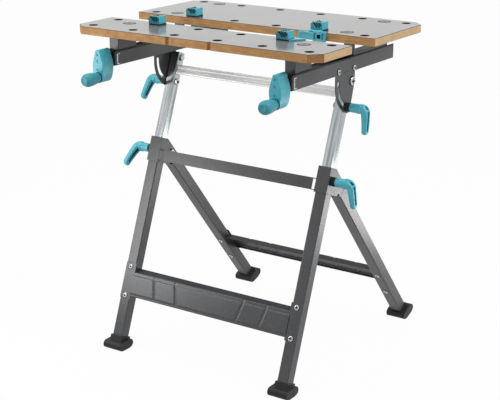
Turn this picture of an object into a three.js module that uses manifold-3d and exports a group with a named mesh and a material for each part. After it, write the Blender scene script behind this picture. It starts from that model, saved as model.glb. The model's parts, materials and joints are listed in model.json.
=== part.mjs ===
// Folding workbench: a tilting, height-adjustable worktop with two crank-driven vice plates on folding legs.
// Millimetres, +X to the right, +Y to the back, +Z up. The cranks are at the front.
import * as THREE from 'three';
import { mergeVertices } from 'three/addons/utils/BufferGeometryUtils.js';
import Module from 'manifold-3d';

// Worktop plates
const plateLength = 650;
const plateThickness = 18;
const plateChamfer = 25;
const frontPlateDepth = 141;
const rearPlateDepth = 248;
const jawOpening = 100;
const rearPlateLead = 36;
const grooveSpacing = 111;
const grooveWidth = 10;
const grooveDepth = 5;

// Dog holes: two rows in each plate, one beside the jaw gap and one at the outer edge
const dogHoleDiameter = 20;
const dogHoleEndInset = 37.5;
const dogHoleColumns = 6;
const frontRowInset = 29;
const jawRowInset = 22;
const backRowInset = 27;

// Legs and collars
const legInset = 89;
const legSize = 28;
const legWall = 1.8;
const frontLean = 20.6;
const rearLean = 40;
const collarTop = 521;
const collarLength = 60;
const collarWall = 2.2;
const hingeDrop = 30;
const hingeGap = 2.5;
const cheekReach = 18;
const rearLegMouth = 33;

// Cross brace between the collars
const braceHeight = 27;
const braceDepth = 22;
const braceSheet = 1.5;
const braceRise = 4;
const braceSetback = 3.6;
const braceEndGap = 9;

// Treads
const treadHeight = 60;
const treadSheet = 1.5;
const treadStep = 28;
const treadLip = 8;
const treadTabAbove = 22;
const treadTabBelow = 6;
const frontTreadRise = 128;
const rearTreadRise = 138;
const treadFieldDepth = 1.6;
const treadFieldInset = 8;
const treadFieldSlant = 11;
const treadFieldGap = 5;
const treadFieldMargin = 4.7;
const outerFieldWidth = 55;
const innerFieldWidth = 58;

// Feet
const padLength = 52;
const padWidth = 51;
const padHeight = 22;
const padShoulder = 12;
const padFlat = 8;
const padPress = 0.3;
const frontPad = { shift: 1, turn: 0, sleeve: 31 };
const rearPad = { shift: -11.3, turn: 19.4, sleeve: 35 };
const footWall = 2.7;
const footSole = 8;

// Lift frame
const liftExtension = 200;
const tubeInsertion = 141;
const tubeWall = 1.5;
const crossbarHeight = 22;
const crossbarDepth = 18;
const crossbarSheet = 2;
const crossbarLip = 6;

// Rails and their tilt lugs
const lugGap = 1.3;
const railHeight = 30.4;
const railWall = 2;
const railRise = 22;
const railFrontInset = 24;
const railBackInset = 16;
const slotRadius = 60;
const slotSweep = 72;
const slotOverrun = 3;
const lugRim = 13.5;
const lugPivotRim = 12.5;

// What stands on the rails
const riserHeight = 37.5;
const riserLength = 160;
const riserWall = 2;
const riserPost = 6;
const riserSill = 9;
const carriageLength = 66;
const carriageGap = 3.5;
const carriageDrop = 6;
const nutLength = 40;
const bearingFlange = 4;
const bearingPlug = 10;

// Spindles and cranks
const spindleDiameter = 12;
const spindleSpare = 10;
const spindleGrip = 20;
const crankDepth = 39;
const crankGap = 1.8;
const crankHubWidth = 26.8;
const crankThrow = 37;
const crankGripRim = 11.5;
const crankTail = 27;
const crankTailRim = 9;
const gripLength = 50;
const gripDiameter = 28.6;
const gripNeck = 22;
const gripPinDiameter = 8;
const gripEndWall = 10;

// Fasteners and clamp levers
const boltDiameter = 8;
const boltHeadDiameter = 16;
const pivotHeadDiameter = 20;
const boltHeadHeight = 4.5;
const railBoltDiameter = 6;
const railBoltHead = 13;
const railBoltHeight = 2.5;
const railBoltRise = 7;
const railBoltFront = 60;
const railBoltBack = 9;
const washerDiameter = 21;
const washerThickness = 5;
const leverBossDiameter = 22;
const leverBossLength = 28;
const leverReach = 62;
const leverFlare = 12;
const leverThickness = 11;
const leverWidth = 18;
const heightLeverTurn = { left: -33, right: 43 };
const tiltLeverTurn = { left: -19, right: 20 };

// Dogs
const dogWidth = 30.5;
const dogDepth = 25;
const dogNotchWidth = 18.5;
const dogNotchDepth = 6;
const dogNotchOffset = 2.5;
const dogHeight = 21;
const dogPegBelow = 8;
const stopThinReach = 38.5;
const stopThickReach = 31;
const stopDepth = 8;
const stopStep = 2;
const stopCover = 3;
const stopSink = 0.5;
const stopThinDrop = 18;
const stopThickDrop = 20;
const stopWindow = 8;

// Clearances
const fitGap = 0.3;
const slideGap = 0.3;
const runningGap = 0.6;
const cutOver = 5;

// Facets on round stretches: half the number of sides of a full circle
const roundSegments = 8;

const wasm = await Module();
wasm.setup();

const xAxis = new THREE.Vector3(1, 0, 0);
const yAxis = new THREE.Vector3(0, 1, 0);
const zAxis = new THREE.Vector3(0, 0, 1);
const sides = [[-1, 'left'], [1, 'right']];

const painted = new THREE.MeshStandardMaterial({ color: 0x6c6d70, roughness: 0.5, metalness: 0.3 });
const plated = new THREE.MeshStandardMaterial({ color: 0xc8cccb, roughness: 0.15, metalness: 1 });
const laminate = new THREE.MeshStandardMaterial({ color: 0xb9b7b3, roughness: 0.35, metalness: 0 });
const teal = new THREE.MeshStandardMaterial({ color: 0x4aa5b4, roughness: 0.45, metalness: 0 });
const blackPlastic = new THREE.MeshStandardMaterial({ color: 0x262525, roughness: 0.6, metalness: 0 });
const zinc = new THREE.MeshStandardMaterial({ color: 0xd2d4d4, roughness: 0.3, metalness: 1 });

// Closed geometry to a solid that can be joined and cut
function toSolid(geometry) {
  const bare = geometry.index ? geometry.toNonIndexed() : geometry.clone();
  bare.deleteAttribute('normal');
  bare.deleteAttribute('uv');
  const merged = mergeVertices(bare, 1e-4);
  const corners = merged.index.array;
  const kept = [];
  for (let i = 0; i < corners.length; i += 3) {
    const [a, b, c] = corners.slice(i, i + 3);
    if (a !== b && b !== c && c !== a) kept.push(a, b, c);
  }
  const vertProperties = new Float32Array(merged.attributes.position.array);
  return new wasm.Manifold(new wasm.Mesh({ numProp: 3, vertProperties, triVerts: new Uint32Array(kept) }));
}

function toGeometry(solid) {
  const { vertProperties, triVerts } = solid.getMesh();
  const geometry = new THREE.BufferGeometry();
  geometry.setAttribute('position', new THREE.BufferAttribute(new Float32Array(vertProperties), 3));
  geometry.setIndex(new THREE.BufferAttribute(new Uint32Array(triVerts), 1));
  geometry.computeVertexNormals();
  return geometry;
}

function addPiece(parent, name, solid, material) {
  const mesh = new THREE.Mesh(toGeometry(solid), material);
  mesh.name = name;
  parent.add(mesh);
}

function addGroup(parent, x, y, z, turn = 0) {
  const group = new THREE.Group();
  group.position.set(x, y, z);
  group.rotation.x = turn;
  parent.add(group);
  return group;
}

function blockGeometry([x0, x1], [y0, y1], [z0, z1]) {
  const geometry = new THREE.BoxGeometry(x1 - x0, y1 - y0, z1 - z0);
  return geometry.translate((x0 + x1) / 2, (y0 + y1) / 2, (z0 + z1) / 2);
}

function block(x, y, z) {
  return toSolid(blockGeometry(x, y, z));
}

function span(centre, half) {
  return [centre - half, centre + half];
}

// Box with walls on four sides and a top, open below
function openBox(x, y, z, wall) {
  const within = ([low, high]) => [low + wall, high - wall];
  return block(x, y, z).subtract(block(within(x), within(y), [z[0] - cutOver, z[1] - wall]));
}

function extrude(shape, depth) {
  return new THREE.ExtrudeGeometry(shape, { depth, bevelEnabled: false, curveSegments: roundSegments });
}

// Outline in (y, z) carried along X
function alongX(shape, from, to) {
  const geometry = extrude(shape, Math.abs(to - from));
  geometry.applyMatrix4(new THREE.Matrix4().makeBasis(yAxis, zAxis, xAxis));
  return toSolid(geometry.translate(Math.min(from, to), 0, 0));
}

// Outline in (x, z) carried towards the front
function towardsFront(shape, from, depth) {
  const geometry = extrude(shape, depth);
  geometry.applyMatrix4(new THREE.Matrix4().makeBasis(xAxis, zAxis, yAxis.clone().negate()));
  return toSolid(geometry.translate(0, from, 0));
}

// Outline in (x, y) carried upwards
function upwards(shape, from, to) {
  return toSolid(extrude(shape, to - from).translate(0, 0, from));
}

function rodX(diameter, from, to, y = 0, z = 0, segments = 2 * roundSegments) {
  const geometry = new THREE.CylinderGeometry(diameter / 2, diameter / 2, Math.abs(to - from), segments);
  return toSolid(geometry.rotateZ(Math.PI / 2).translate((from + to) / 2, y, z));
}

function rodY(diameter, from, to, x = 0, z = 0) {
  const geometry = new THREE.CylinderGeometry(diameter / 2, diameter / 2, to - from, 2 * roundSegments);
  return toSolid(geometry.translate(x, (from + to) / 2, z));
}

function rodZ(diameter, from, to, x = 0, y = 0) {
  const geometry = new THREE.CylinderGeometry(diameter / 2, diameter / 2, to - from, 2 * roundSegments);
  return toSolid(geometry.rotateX(Math.PI / 2).translate(x, y, (from + to) / 2));
}

// Outline of a sheet bent along a line of points, its thickness on the left of the way it runs
function bentSheet(points, thickness) {
  const path = points.map(([u, v]) => new THREE.Vector2(u, v));
  const inner = path.map((point, i) => {
    const before = i > 0 ? point.clone().sub(path[i - 1]).normalize() : null;
    const after = i < path.length - 1 ? path[i + 1].clone().sub(point).normalize() : null;
    const first = before ?? after;
    const second = after ?? before;
    const normal = new THREE.Vector2(-first.y - second.y, first.x + second.x).normalize();
    const stretch = thickness / (normal.y * first.x - normal.x * first.y);
    return point.clone().addScaledVector(normal, stretch);
  });
  return new THREE.Shape([...path, ...inner.reverse()]);
}

// Square tube along Z
function squareTube(size, wall, from, to) {
  const half = size / 2;
  const bore = half - wall;
  const outside = block(span(0, half), span(0, half), [from, to]);
  return outside.subtract(block(span(0, bore), span(0, bore), [from - cutOver, to + cutOver]));
}

// Where the frame's lines cross, seen from the side
const front = THREE.MathUtils.degToRad(frontLean);
const rear = THREE.MathUtils.degToRad(rearLean);
const legX = plateLength / 2 - legInset;
const legHalf = legSize / 2;
const collarBore = legHalf + fitGap;
const collarHalf = collarBore + collarWall;
const tubeSize = legSize - 2 * legWall - 2 * slideGap;
const tubeHalf = tubeSize / 2;
const boltHole = boltDiameter + 2 * runningGap;
const hingeBehind = collarHalf + legHalf + hingeGap;
const hingeAlong = collarTop - hingeDrop;
const tiltAlong = collarTop + liftExtension;
const studAlong = tiltAlong - slotRadius;

// Point beside the front leg, from its distance behind the leg's axis and along it from the floor
function besideFrontLeg(behind, along) {
  const y = behind * Math.cos(front) + along * Math.sin(front);
  const z = along * Math.cos(front) - behind * Math.sin(front);
  return { y, z };
}

const hinge = besideFrontLeg(hingeBehind, hingeAlong);
const pivot = besideFrontLeg(0, tiltAlong);
const rearFootY = hinge.y + hinge.z * Math.tan(rear);
const rearHingeAlong = hinge.z / Math.cos(rear);

const bench = new THREE.Group();
const frontFrame = addGroup(bench, 0, 0, 0, -front);
const rearFrame = addGroup(bench, 0, rearFootY, 0, rear);
const table = addGroup(bench, 0, pivot.y, pivot.z);

// Height of a leg's lower end in its foot, along the leg
function socketFloor(lean) {
  return (footSole + collarBore * Math.sin(Math.abs(lean))) / Math.cos(lean);
}

// Oval rocker pad, turned about its middle and pressed flat where it meets the floor
function rockerPad(shift, turn) {
  const half = padLength / 2;
  const waist = padHeight / 2;
  const oval = new THREE.Shape();
  oval.moveTo(-half, waist);
  oval.quadraticCurveTo(-half, 0, -padFlat / 2, 0);
  oval.lineTo(padFlat / 2, 0);
  oval.quadraticCurveTo(half, 0, half, waist);
  oval.quadraticCurveTo(half, padHeight, half - padShoulder, padHeight);
  oval.lineTo(padShoulder - half, padHeight);
  oval.quadraticCurveTo(-half, padHeight, -half, waist);
  const middle = new THREE.Vector2(0, waist);
  const turned = oval.getPoints(roundSegments).slice(0, -1)
    .map((point) => point.rotateAround(middle, THREE.MathUtils.degToRad(turn)));
  const lowest = Math.min(...turned.map((point) => point.y));
  const press = turn === 0 ? 0 : padPress;
  const drop = new THREE.Vector2(shift, -lowest - press);
  const pad = alongX(new THREE.Shape(turned.map((point) => point.add(drop))), -padWidth / 2, padWidth / 2);
  return pad.subtract(block(span(0, padWidth), span(0, padLength), [-padHeight, 0]));
}

// Foot: a rocker pad with a sleeve for the leg, which leans by the angle given
function foot(lean, { shift, turn, sleeve }) {
  const floor = socketFloor(lean);
  const sleeveHalf = collarBore + footWall;
  const sleeveSpan = [floor - footWall, sleeve];
  const walls = blockGeometry(span(0, sleeveHalf), span(0, sleeveHalf), sleeveSpan).rotateX(lean);
  const socket = blockGeometry(span(0, collarBore), span(0, collarBore), [floor, sleeve + legSize]);
  return rockerPad(shift, turn).add(toSolid(walls)).subtract(toSolid(socket.rotateX(lean)));
}

// Collar around the front leg, with two cheeks behind it that hold the rear leg's hinge bolt
function collar(side) {
  const turn = front + rear;
  const down = new THREE.Vector2(Math.sin(turn), -Math.cos(turn));
  const up = new THREE.Vector2(Math.cos(turn), Math.sin(turn));
  const pin = new THREE.Vector2(hingeBehind, hingeAlong);
  const backLine = pin.clone().addScaledVector(up, legHalf);
  const topBack = backLine.clone().addScaledVector(down, (backLine.y - collarTop) / -down.y);
  const cheekBack = backLine.clone().addScaledVector(down, cheekReach);
  const cheekFront = pin.clone().addScaledVector(up, -legHalf).addScaledVector(down, cheekReach);
  const bottom = collarTop - collarLength;
  const outline = new THREE.Shape();
  outline.moveTo(-collarHalf, bottom);
  outline.lineTo(Math.min(hingeBehind, cheekFront.x), bottom);
  outline.lineTo(cheekFront.x, cheekFront.y);
  outline.lineTo(cheekBack.x, cheekBack.y);
  outline.lineTo(topBack.x, topBack.y);
  outline.lineTo(-collarHalf, collarTop);
  const through = [bottom - cutOver, collarTop + cutOver];
  const legBore = block(span(0, collarBore), span(0, collarBore), through);
  const rearMouth = block(span(0, collarBore), [collarHalf, cheekBack.x + legSize], through);
  const studHole = rodX(boltHole, 0, side * (collarHalf + cutOver), 0, hingeAlong);
  const pinReach = collarHalf + cutOver;
  const pinHole = rodX(boltHole, -pinReach, pinReach, hingeBehind, hingeAlong);
  return alongX(outline, -collarHalf, collarHalf).subtract(legBore).subtract(rearMouth).subtract(studHole)
    .subtract(pinHole);
}

function frontLeg(side) {
  const tube = squareTube(legSize, legWall, socketFloor(front) + fitGap, collarTop - fitGap);
  return tube.subtract(rodX(boltHole, 0, side * legSize, 0, hingeAlong));
}

// Rear leg: round at the hinge, with its front wall cut away below the hinge
function rearLeg() {
  const bore = legHalf - legWall;
  const start = socketFloor(rear) + fitGap;
  const outline = new THREE.Shape();
  outline.moveTo(-legHalf, start);
  outline.lineTo(legHalf, start);
  outline.lineTo(legHalf, rearHingeAlong);
  outline.absarc(0, rearHingeAlong, legHalf, 0, Math.PI, false);
  const through = [start - cutOver, rearHingeAlong + legSize];
  const mouth = [rearHingeAlong - rearLegMouth, rearHingeAlong + legSize];
  return alongX(outline, -legHalf, legHalf).subtract(block(span(0, bore), span(0, bore), through))
    .subtract(block(span(0, bore), [-legSize, 0], mouth))
    .subtract(rodX(boltHole, -legSize, legSize, 0, rearHingeAlong));
}

// Bolt along X with a six-sided head at each end of the stretch that it holds
function throughBolt(side, inner, outer, headDiameter) {
  const innerHead = side * (-inner - fitGap);
  const outerHead = side * (outer + fitGap);
  const innerEnd = innerHead - side * boltHeadHeight;
  const outerEnd = outerHead + side * boltHeadHeight;
  return rodX(boltDiameter, innerEnd, outerEnd)
    .add(rodX(boltHeadDiameter, innerEnd, innerHead, 0, 0, 6))
    .add(rodX(headDiameter, outerHead, outerEnd, 0, 0, 6));
}

// Raised field of a tread, slanted at both ends like the pressing's own ribs
function treadField(inner, outer, foot0, face) {
  const low = foot0 + treadFieldInset;
  const high = foot0 + treadHeight - treadFieldInset;
  const lean = (x) => x - Math.sign(x) * treadFieldSlant;
  const outline = new THREE.Shape();
  outline.moveTo(lean(inner), low);
  outline.lineTo(lean(outer), low);
  outline.lineTo(outer, high);
  outline.lineTo(inner, high);
  return towardsFront(outline, face + treadSheet / 2, treadFieldDepth + treadSheet / 2);
}

// Tread on the front faces of a pair of legs: a panel with a level step on top and a lip below
function tread(lean, bottom) {
  const face = -legHalf - fitGap - treadSheet;
  const top = bottom + treadHeight;
  const level = [Math.cos(lean), Math.sin(lean)];
  const between = legX - legHalf - fitGap;
  const profile = bentSheet([
    [face + treadStep * level[0], top + treadStep * level[1]],
    [face, top],
    [face, bottom],
    [face + treadLip * level[0], bottom + treadLip * level[1]],
  ], treadSheet);
  let panel = alongX(profile, -between, between);
  const tabSpan = [bottom - treadTabBelow, top + treadTabAbove];
  for (const [side] of sides) {
    const edges = [side * (between - treadSheet), side * (legX + legHalf)].sort((a, b) => a - b);
    panel = panel.add(block(edges, [face, face + treadSheet], tabSpan));
    let outer = between - treadFieldMargin;
    for (const width of [outerFieldWidth, innerFieldWidth]) {
      panel = panel.add(treadField(side * (outer - width), side * outer, bottom, face));
      outer -= width + treadFieldGap;
    }
  }
  const middle = between - treadFieldMargin - outerFieldWidth - innerFieldWidth - 2 * treadFieldGap;
  return panel.add(treadField(-middle, middle, bottom, face));
}

// Channel between the collars, open to the back, its front wall short of the collars
function crossBrace() {
  const half = legX - collarHalf - fitGap;
  const face = braceSetback - collarHalf;
  const bottom = collarTop - collarLength + braceRise;
  const top = bottom + braceHeight;
  const back = face + braceDepth;
  const channel = bentSheet([[back, top], [face, top], [face, bottom], [back, bottom]], braceSheet);
  let brace = alongX(channel, -half, half);
  for (const [side] of sides) {
    const edges = [side * (half - braceEndGap), side * (half + cutOver)].sort((a, b) => a - b);
    const wall = [bottom + braceSheet, top - braceSheet];
    brace = brace.subtract(block(edges, [face - cutOver, face + 2 * braceSheet], wall));
  }
  return brace;
}

function liftTube() {
  const tube = squareTube(tubeSize, tubeWall, collarTop - tubeInsertion, tiltAlong + tubeHalf);
  const reach = tubeSize;
  return tube.subtract(rodX(boltHole, -reach, reach, 0, tiltAlong))
    .subtract(rodX(boltHole, -reach, reach, 0, studAlong));
}

// Channel with lips between the lift tubes, open to the back, midway between the pivot and the clamp stud
function liftCrossbar() {
  const half = legX - tubeHalf - fitGap;
  const face = -crossbarDepth / 2;
  const back = crossbarDepth / 2;
  const top = (tiltAlong + studAlong + crossbarHeight) / 2;
  const bottom = top - crossbarHeight;
  const channel = bentSheet([
    [back, top - crossbarLip],
    [back, top],
    [face, top],
    [face, bottom],
    [back, bottom],
    [back, bottom + crossbarLip],
  ], crossbarSheet);
  return alongX(channel, -half, half);
}

// Heights and depths of the table, from the tilt pivot
const railTop = railRise + railHeight;
const plateUnder = railTop + riserHeight;
const plateTop = plateUnder + plateThickness;
const rearPlateFront = -rearPlateLead;
const rearPlateBack = rearPlateFront + rearPlateDepth;
const frontPlateBack = rearPlateFront - jawOpening;
const frontPlateFront = frontPlateBack - frontPlateDepth;
const railFront = frontPlateFront + railFrontInset;
const railBack = rearPlateBack - railBackInset;
const railBore = tubeHalf + lugGap;
const railHalf = railBore + railWall;
const spindleZ = railRise + railHeight / 2;
const carriageMiddle = railFront + bearingPlug + carriageGap + carriageLength / 2;
const riserMiddle = rearPlateFront + rearPlateDepth / 2;
const spindleHole = spindleDiameter + 2 * runningGap;
const crankBack = railFront - fitGap - bearingFlange - crankGap;
const gripPinLength = gripLength - gripEndWall;
const dogHolePitch = (plateLength - 2 * dogHoleEndInset) / (dogHoleColumns - 1);
const spindleEnd = carriageMiddle + nutLength / 2 + jawOpening + spindleSpare;

// Arc-shaped slot around the tilt pivot, from the clamp stud towards the front
function tiltSlot(studAngle) {
  const start = studAngle - THREE.MathUtils.degToRad(slotSweep);
  const end = studAngle + slotOverrun / slotRadius;
  const half = boltHole / 2;
  const slot = new THREE.Path();
  slot.absarc(0, 0, slotRadius + half, start, end, false);
  slot.absarc(slotRadius * Math.cos(end), slotRadius * Math.sin(end), half, end, end + Math.PI, false);
  slot.absarc(0, 0, slotRadius - half, end, start, true);
  slot.absarc(slotRadius * Math.cos(start), slotRadius * Math.sin(start), half, start + Math.PI,
    start + 2 * Math.PI, false);
  return slot;
}

// Open-topped rail whose outer wall runs down into the slotted lug of the tilt clamp
function rail(side) {
  const studAngle = 1.5 * Math.PI - front;
  const endAngle = studAngle + slotOverrun / slotRadius;
  const lugRadius = slotRadius + lugRim;
  const endY = slotRadius * Math.cos(endAngle);
  const endZ = slotRadius * Math.sin(endAngle);
  const wall = new THREE.Shape();
  wall.moveTo(railFront, railRise);
  wall.lineTo(-lugRadius, railRise);
  wall.absarc(0, 0, lugRadius, Math.PI, endAngle, false);
  wall.absarc(endY, endZ, lugRim, endAngle, endAngle + Math.PI / 2, false);
  wall.absarc(0, 0, lugPivotRim, endAngle + Math.PI / 2, 2 * Math.PI, false);
  wall.lineTo(lugPivotRim, railRise);
  wall.lineTo(railBack, railRise);
  wall.lineTo(railBack, railTop);
  wall.lineTo(railFront, railTop);
  wall.holes.push(tiltSlot(studAngle));
  const lengthwise = [railFront, railBack];
  const outer = alongX(wall, side * railBore, side * railHalf);
  const across = [-side * railHalf, side * railHalf].sort((a, b) => a - b);
  const inner = [-side * railHalf, -side * railBore].sort((a, b) => a - b);
  let channel = outer.add(block(across, lengthwise, [railRise, railRise + railWall]))
    .add(block(inner, lengthwise, [railRise, railTop]))
    .subtract(rodX(boltHole, side * (railBore - fitGap), side * (railHalf + cutOver)));
  for (const y of [-railBoltFront, railBoltBack]) {
    const hole = railBoltDiameter + 2 * runningGap;
    const height = railRise + railBoltRise;
    channel = channel.subtract(rodX(hole, side * railBore, side * (railHalf + cutOver), y, height));
  }
  return channel;
}

function railBolt(side) {
  const face = railHalf + fitGap;
  const shank = rodX(railBoltDiameter, side * (railBore + fitGap), side * (face + railBoltHeight));
  return shank.add(rodX(railBoltHead, side * face, side * (face + railBoltHeight)));
}

// Worktop plate with its outer corners cut off and two rows of dog holes
function worktop(outerEdge, jawEdge, outerInset, grooved) {
  const half = plateLength / 2;
  const inward = Math.sign(jawEdge - outerEdge);
  const outline = new THREE.Shape();
  outline.moveTo(-half, jawEdge);
  outline.lineTo(-half, outerEdge + inward * plateChamfer);
  outline.lineTo(plateChamfer - half, outerEdge);
  for (const x of grooved ? [-grooveSpacing / 2, grooveSpacing / 2] : []) {
    outline.lineTo(x - grooveWidth / 2, outerEdge);
    outline.lineTo(x, outerEdge + inward * grooveDepth);
    outline.lineTo(x + grooveWidth / 2, outerEdge);
  }
  outline.lineTo(half - plateChamfer, outerEdge);
  outline.lineTo(half, outerEdge + inward * plateChamfer);
  outline.lineTo(half, jawEdge);
  let plate = upwards(outline, plateUnder, plateTop);
  for (const y of [outerEdge + inward * outerInset, jawEdge - inward * jawRowInset]) {
    for (let column = 0; column < dogHoleColumns; column += 1) {
      const x = (column - (dogHoleColumns - 1) / 2) * dogHolePitch;
      plate = plate.subtract(rodZ(dogHoleDiameter, plateUnder - cutOver, plateTop + cutOver, x, y));
    }
  }
  return plate;
}

// Riser under the rear plate, with a window through both of its long walls
function riser() {
  const half = railBore - fitGap;
  const top = plateUnder - fitGap;
  const height = [railRise + railWall + fitGap, top];
  const box = openBox(span(0, half), span(riserMiddle, riserLength / 2), height, riserWall);
  const window = span(riserMiddle, riserLength / 2 - riserPost);
  return box.subtract(block(span(0, railHalf), window, [railTop + riserSill, top - riserWall]));
}

function carriage() {
  const half = railBore - fitGap;
  const height = [railTop - carriageDrop, plateUnder - fitGap];
  return openBox(span(0, half), span(carriageMiddle, carriageLength / 2), height, riserWall);
}

function spindleNut() {
  const half = railBore - fitGap;
  const height = [railRise + railWall + fitGap, railTop - carriageDrop - fitGap];
  const nut = block(span(0, half), span(carriageMiddle, nutLength / 2), height);
  return nut.subtract(rodY(spindleHole, railFront, spindleEnd, 0, spindleZ));
}

function spindleBearing() {
  const half = railBore - fitGap;
  const flangeBack = railFront - fitGap;
  const height = [railRise + railWall + fitGap, railTop];
  const plug = block(span(0, half), [flangeBack, railFront + bearingPlug], height);
  const flange = block(span(0, railHalf), [flangeBack - bearingFlange, flangeBack], [railRise, railTop]);
  return plug.add(flange).subtract(rodY(spindleHole, crankBack, railBack, 0, spindleZ));
}

// Crank arm with its hub on the spindle axis and the pin of the grip below it
function crank() {
  const hub = crankHubWidth / 2;
  const outline = new THREE.Shape();
  outline.moveTo(hub, 0);
  outline.bezierCurveTo(hub, crankTail / 2, crankTailRim, crankTail / 2, crankTailRim, crankTail);
  outline.absarc(0, crankTail, crankTailRim, 0, Math.PI, false);
  outline.bezierCurveTo(-crankTailRim, crankTail / 2, -hub, crankTail / 2, -hub, 0);
  outline.bezierCurveTo(-hub, -crankThrow / 2, -crankGripRim, -crankThrow / 2, -crankGripRim, -crankThrow);
  outline.absarc(0, -crankThrow, crankGripRim, Math.PI, 2 * Math.PI, false);
  outline.bezierCurveTo(crankGripRim, -crankThrow / 2, hub, -crankThrow / 2, hub, 0);
  const arm = towardsFront(outline, 0, crankDepth);
  const pocket = rodY(spindleHole, -spindleGrip - runningGap, cutOver);
  const pin = rodY(gripPinDiameter, -crankDepth - gripPinLength, -crankDepth / 2, 0, -crankThrow);
  return arm.subtract(pocket).add(pin);
}

// Grip: a neck that swells into a round end, bored for the pin
function grip() {
  const neck = gripNeck / 2;
  const bulb = gripDiameter / 2;
  const profile = new THREE.Path();
  profile.moveTo(0, 0);
  profile.lineTo(neck, 0);
  profile.quadraticCurveTo(bulb, (gripLength - bulb) / 2, bulb, gripLength - bulb);
  profile.absarc(0, gripLength - bulb, bulb, 0, Math.PI / 2, false);
  const geometry = new THREE.LatheGeometry(profile.getPoints(roundSegments / 2), 2 * roundSegments);
  const bore = rodY(gripPinDiameter + 2 * runningGap, -gripPinLength - runningGap, cutOver);
  return toSolid(geometry.rotateX(Math.PI)).subtract(bore);
}

// Clamp lever: a boss along X and an arm that hangs from its outer end and flares outwards
function clampLever(side, inner) {
  const bossEnd = inner + leverBossLength;
  const boss = rodX(leverBossDiameter, side * inner, side * bossEnd);
  const rim = leverBossDiameter / 2;
  const thick = leverThickness;
  const arm = new THREE.Shape();
  arm.moveTo(side * (bossEnd - thick), rim * 0.8);
  arm.lineTo(side * bossEnd, rim * 0.8);
  arm.lineTo(side * (bossEnd + thick / 2), -thick / 2);
  arm.lineTo(side * (bossEnd + leverFlare), thick / 2 - leverReach);
  arm.lineTo(side * (bossEnd + leverFlare - thick / 2), -leverReach);
  arm.lineTo(side * (bossEnd + leverFlare - thick), thick / 2 - leverReach);
  arm.lineTo(side * (bossEnd - thick), -rim * 0.8);
  const pocket = rodX(boltHole, side * (inner - cutOver), side * (inner + leverBossLength / 2 + runningGap));
  return boss.add(towardsFront(arm, leverWidth / 2, leverWidth)).subtract(pocket);
}

// Stud of a clamp lever with its washer, from its inner end to inside the lever's boss
function clampStud(side, inner, seat, nutReach) {
  const lever = seat + washerThickness + fitGap;
  const stud = rodX(boltDiameter, side * inner, side * (lever + leverBossLength / 2));
  const washer = rodX(washerDiameter, side * seat, side * (seat + washerThickness));
  if (nutReach === 0) return stud.add(washer);
  const nut = rodX(boltHeadDiameter, side * inner, side * (inner + nutReach), 0, 0, 6);
  return stud.add(washer).add(nut);
}

// Clamp lever and its stud on a leg of the front frame, turned from straight down the leg
function addClamp([side, word], name, along, turns, stud, seat) {
  const group = addGroup(frontFrame, side * legX, 0, along, THREE.MathUtils.degToRad(turns[word]));
  addPiece(group, `${name}_stud_${word}`, stud, blackPlastic);
  addPiece(group, `${name}_lever_${word}`, clampLever(side, seat + washerThickness + fitGap), teal);
}

// Dog: a block on the worktop with a V notch along its top and a peg through a dog hole
function dog() {
  const top = dogHeight + fitGap;
  const half = dogNotchWidth / 2;
  const slope = dogNotchDepth / half;
  const notch = new THREE.Shape();
  notch.moveTo(dogNotchOffset, top - dogNotchDepth);
  notch.lineTo(dogNotchOffset + half + cutOver, top + slope * cutOver);
  notch.lineTo(dogNotchOffset - half - cutOver, top + slope * cutOver);
  const peg = rodZ(dogHoleDiameter - 2 * runningGap, -plateThickness - dogPegBelow, dogHeight / 2);
  return block(span(0, dogWidth / 2), span(0, dogDepth / 2), [fitGap, top])
    .subtract(towardsFront(notch, dogDepth, 2 * dogDepth)).add(peg);
}

// Stop that hangs over the jaw edge in front of a dog, with a window in its thicker half
function edgeStop() {
  const back = -jawRowInset - fitGap;
  const face = back - stopDepth;
  const upper = fitGap + stopCover;
  const cover = block(span(0, dogWidth / 2), [back, -dogDepth / 2 - fitGap], [fitGap, upper]);
  const thin = block([-stopThinReach, stopThickReach], [face + stopStep, back], [-stopThinDrop, -stopSink]);
  const thick = block([0, stopThickReach], [face, back], [-stopThickDrop, upper]);
  const windowSpan = span(stopThickReach / 2, stopWindow / 2);
  const windowHeight = span((upper - stopThickDrop) / 2, stopWindow / 2);
  return cover.add(thin).add(thick)
    .subtract(block(windowSpan, [face - cutOver, back + cutOver], windowHeight));
}

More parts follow.
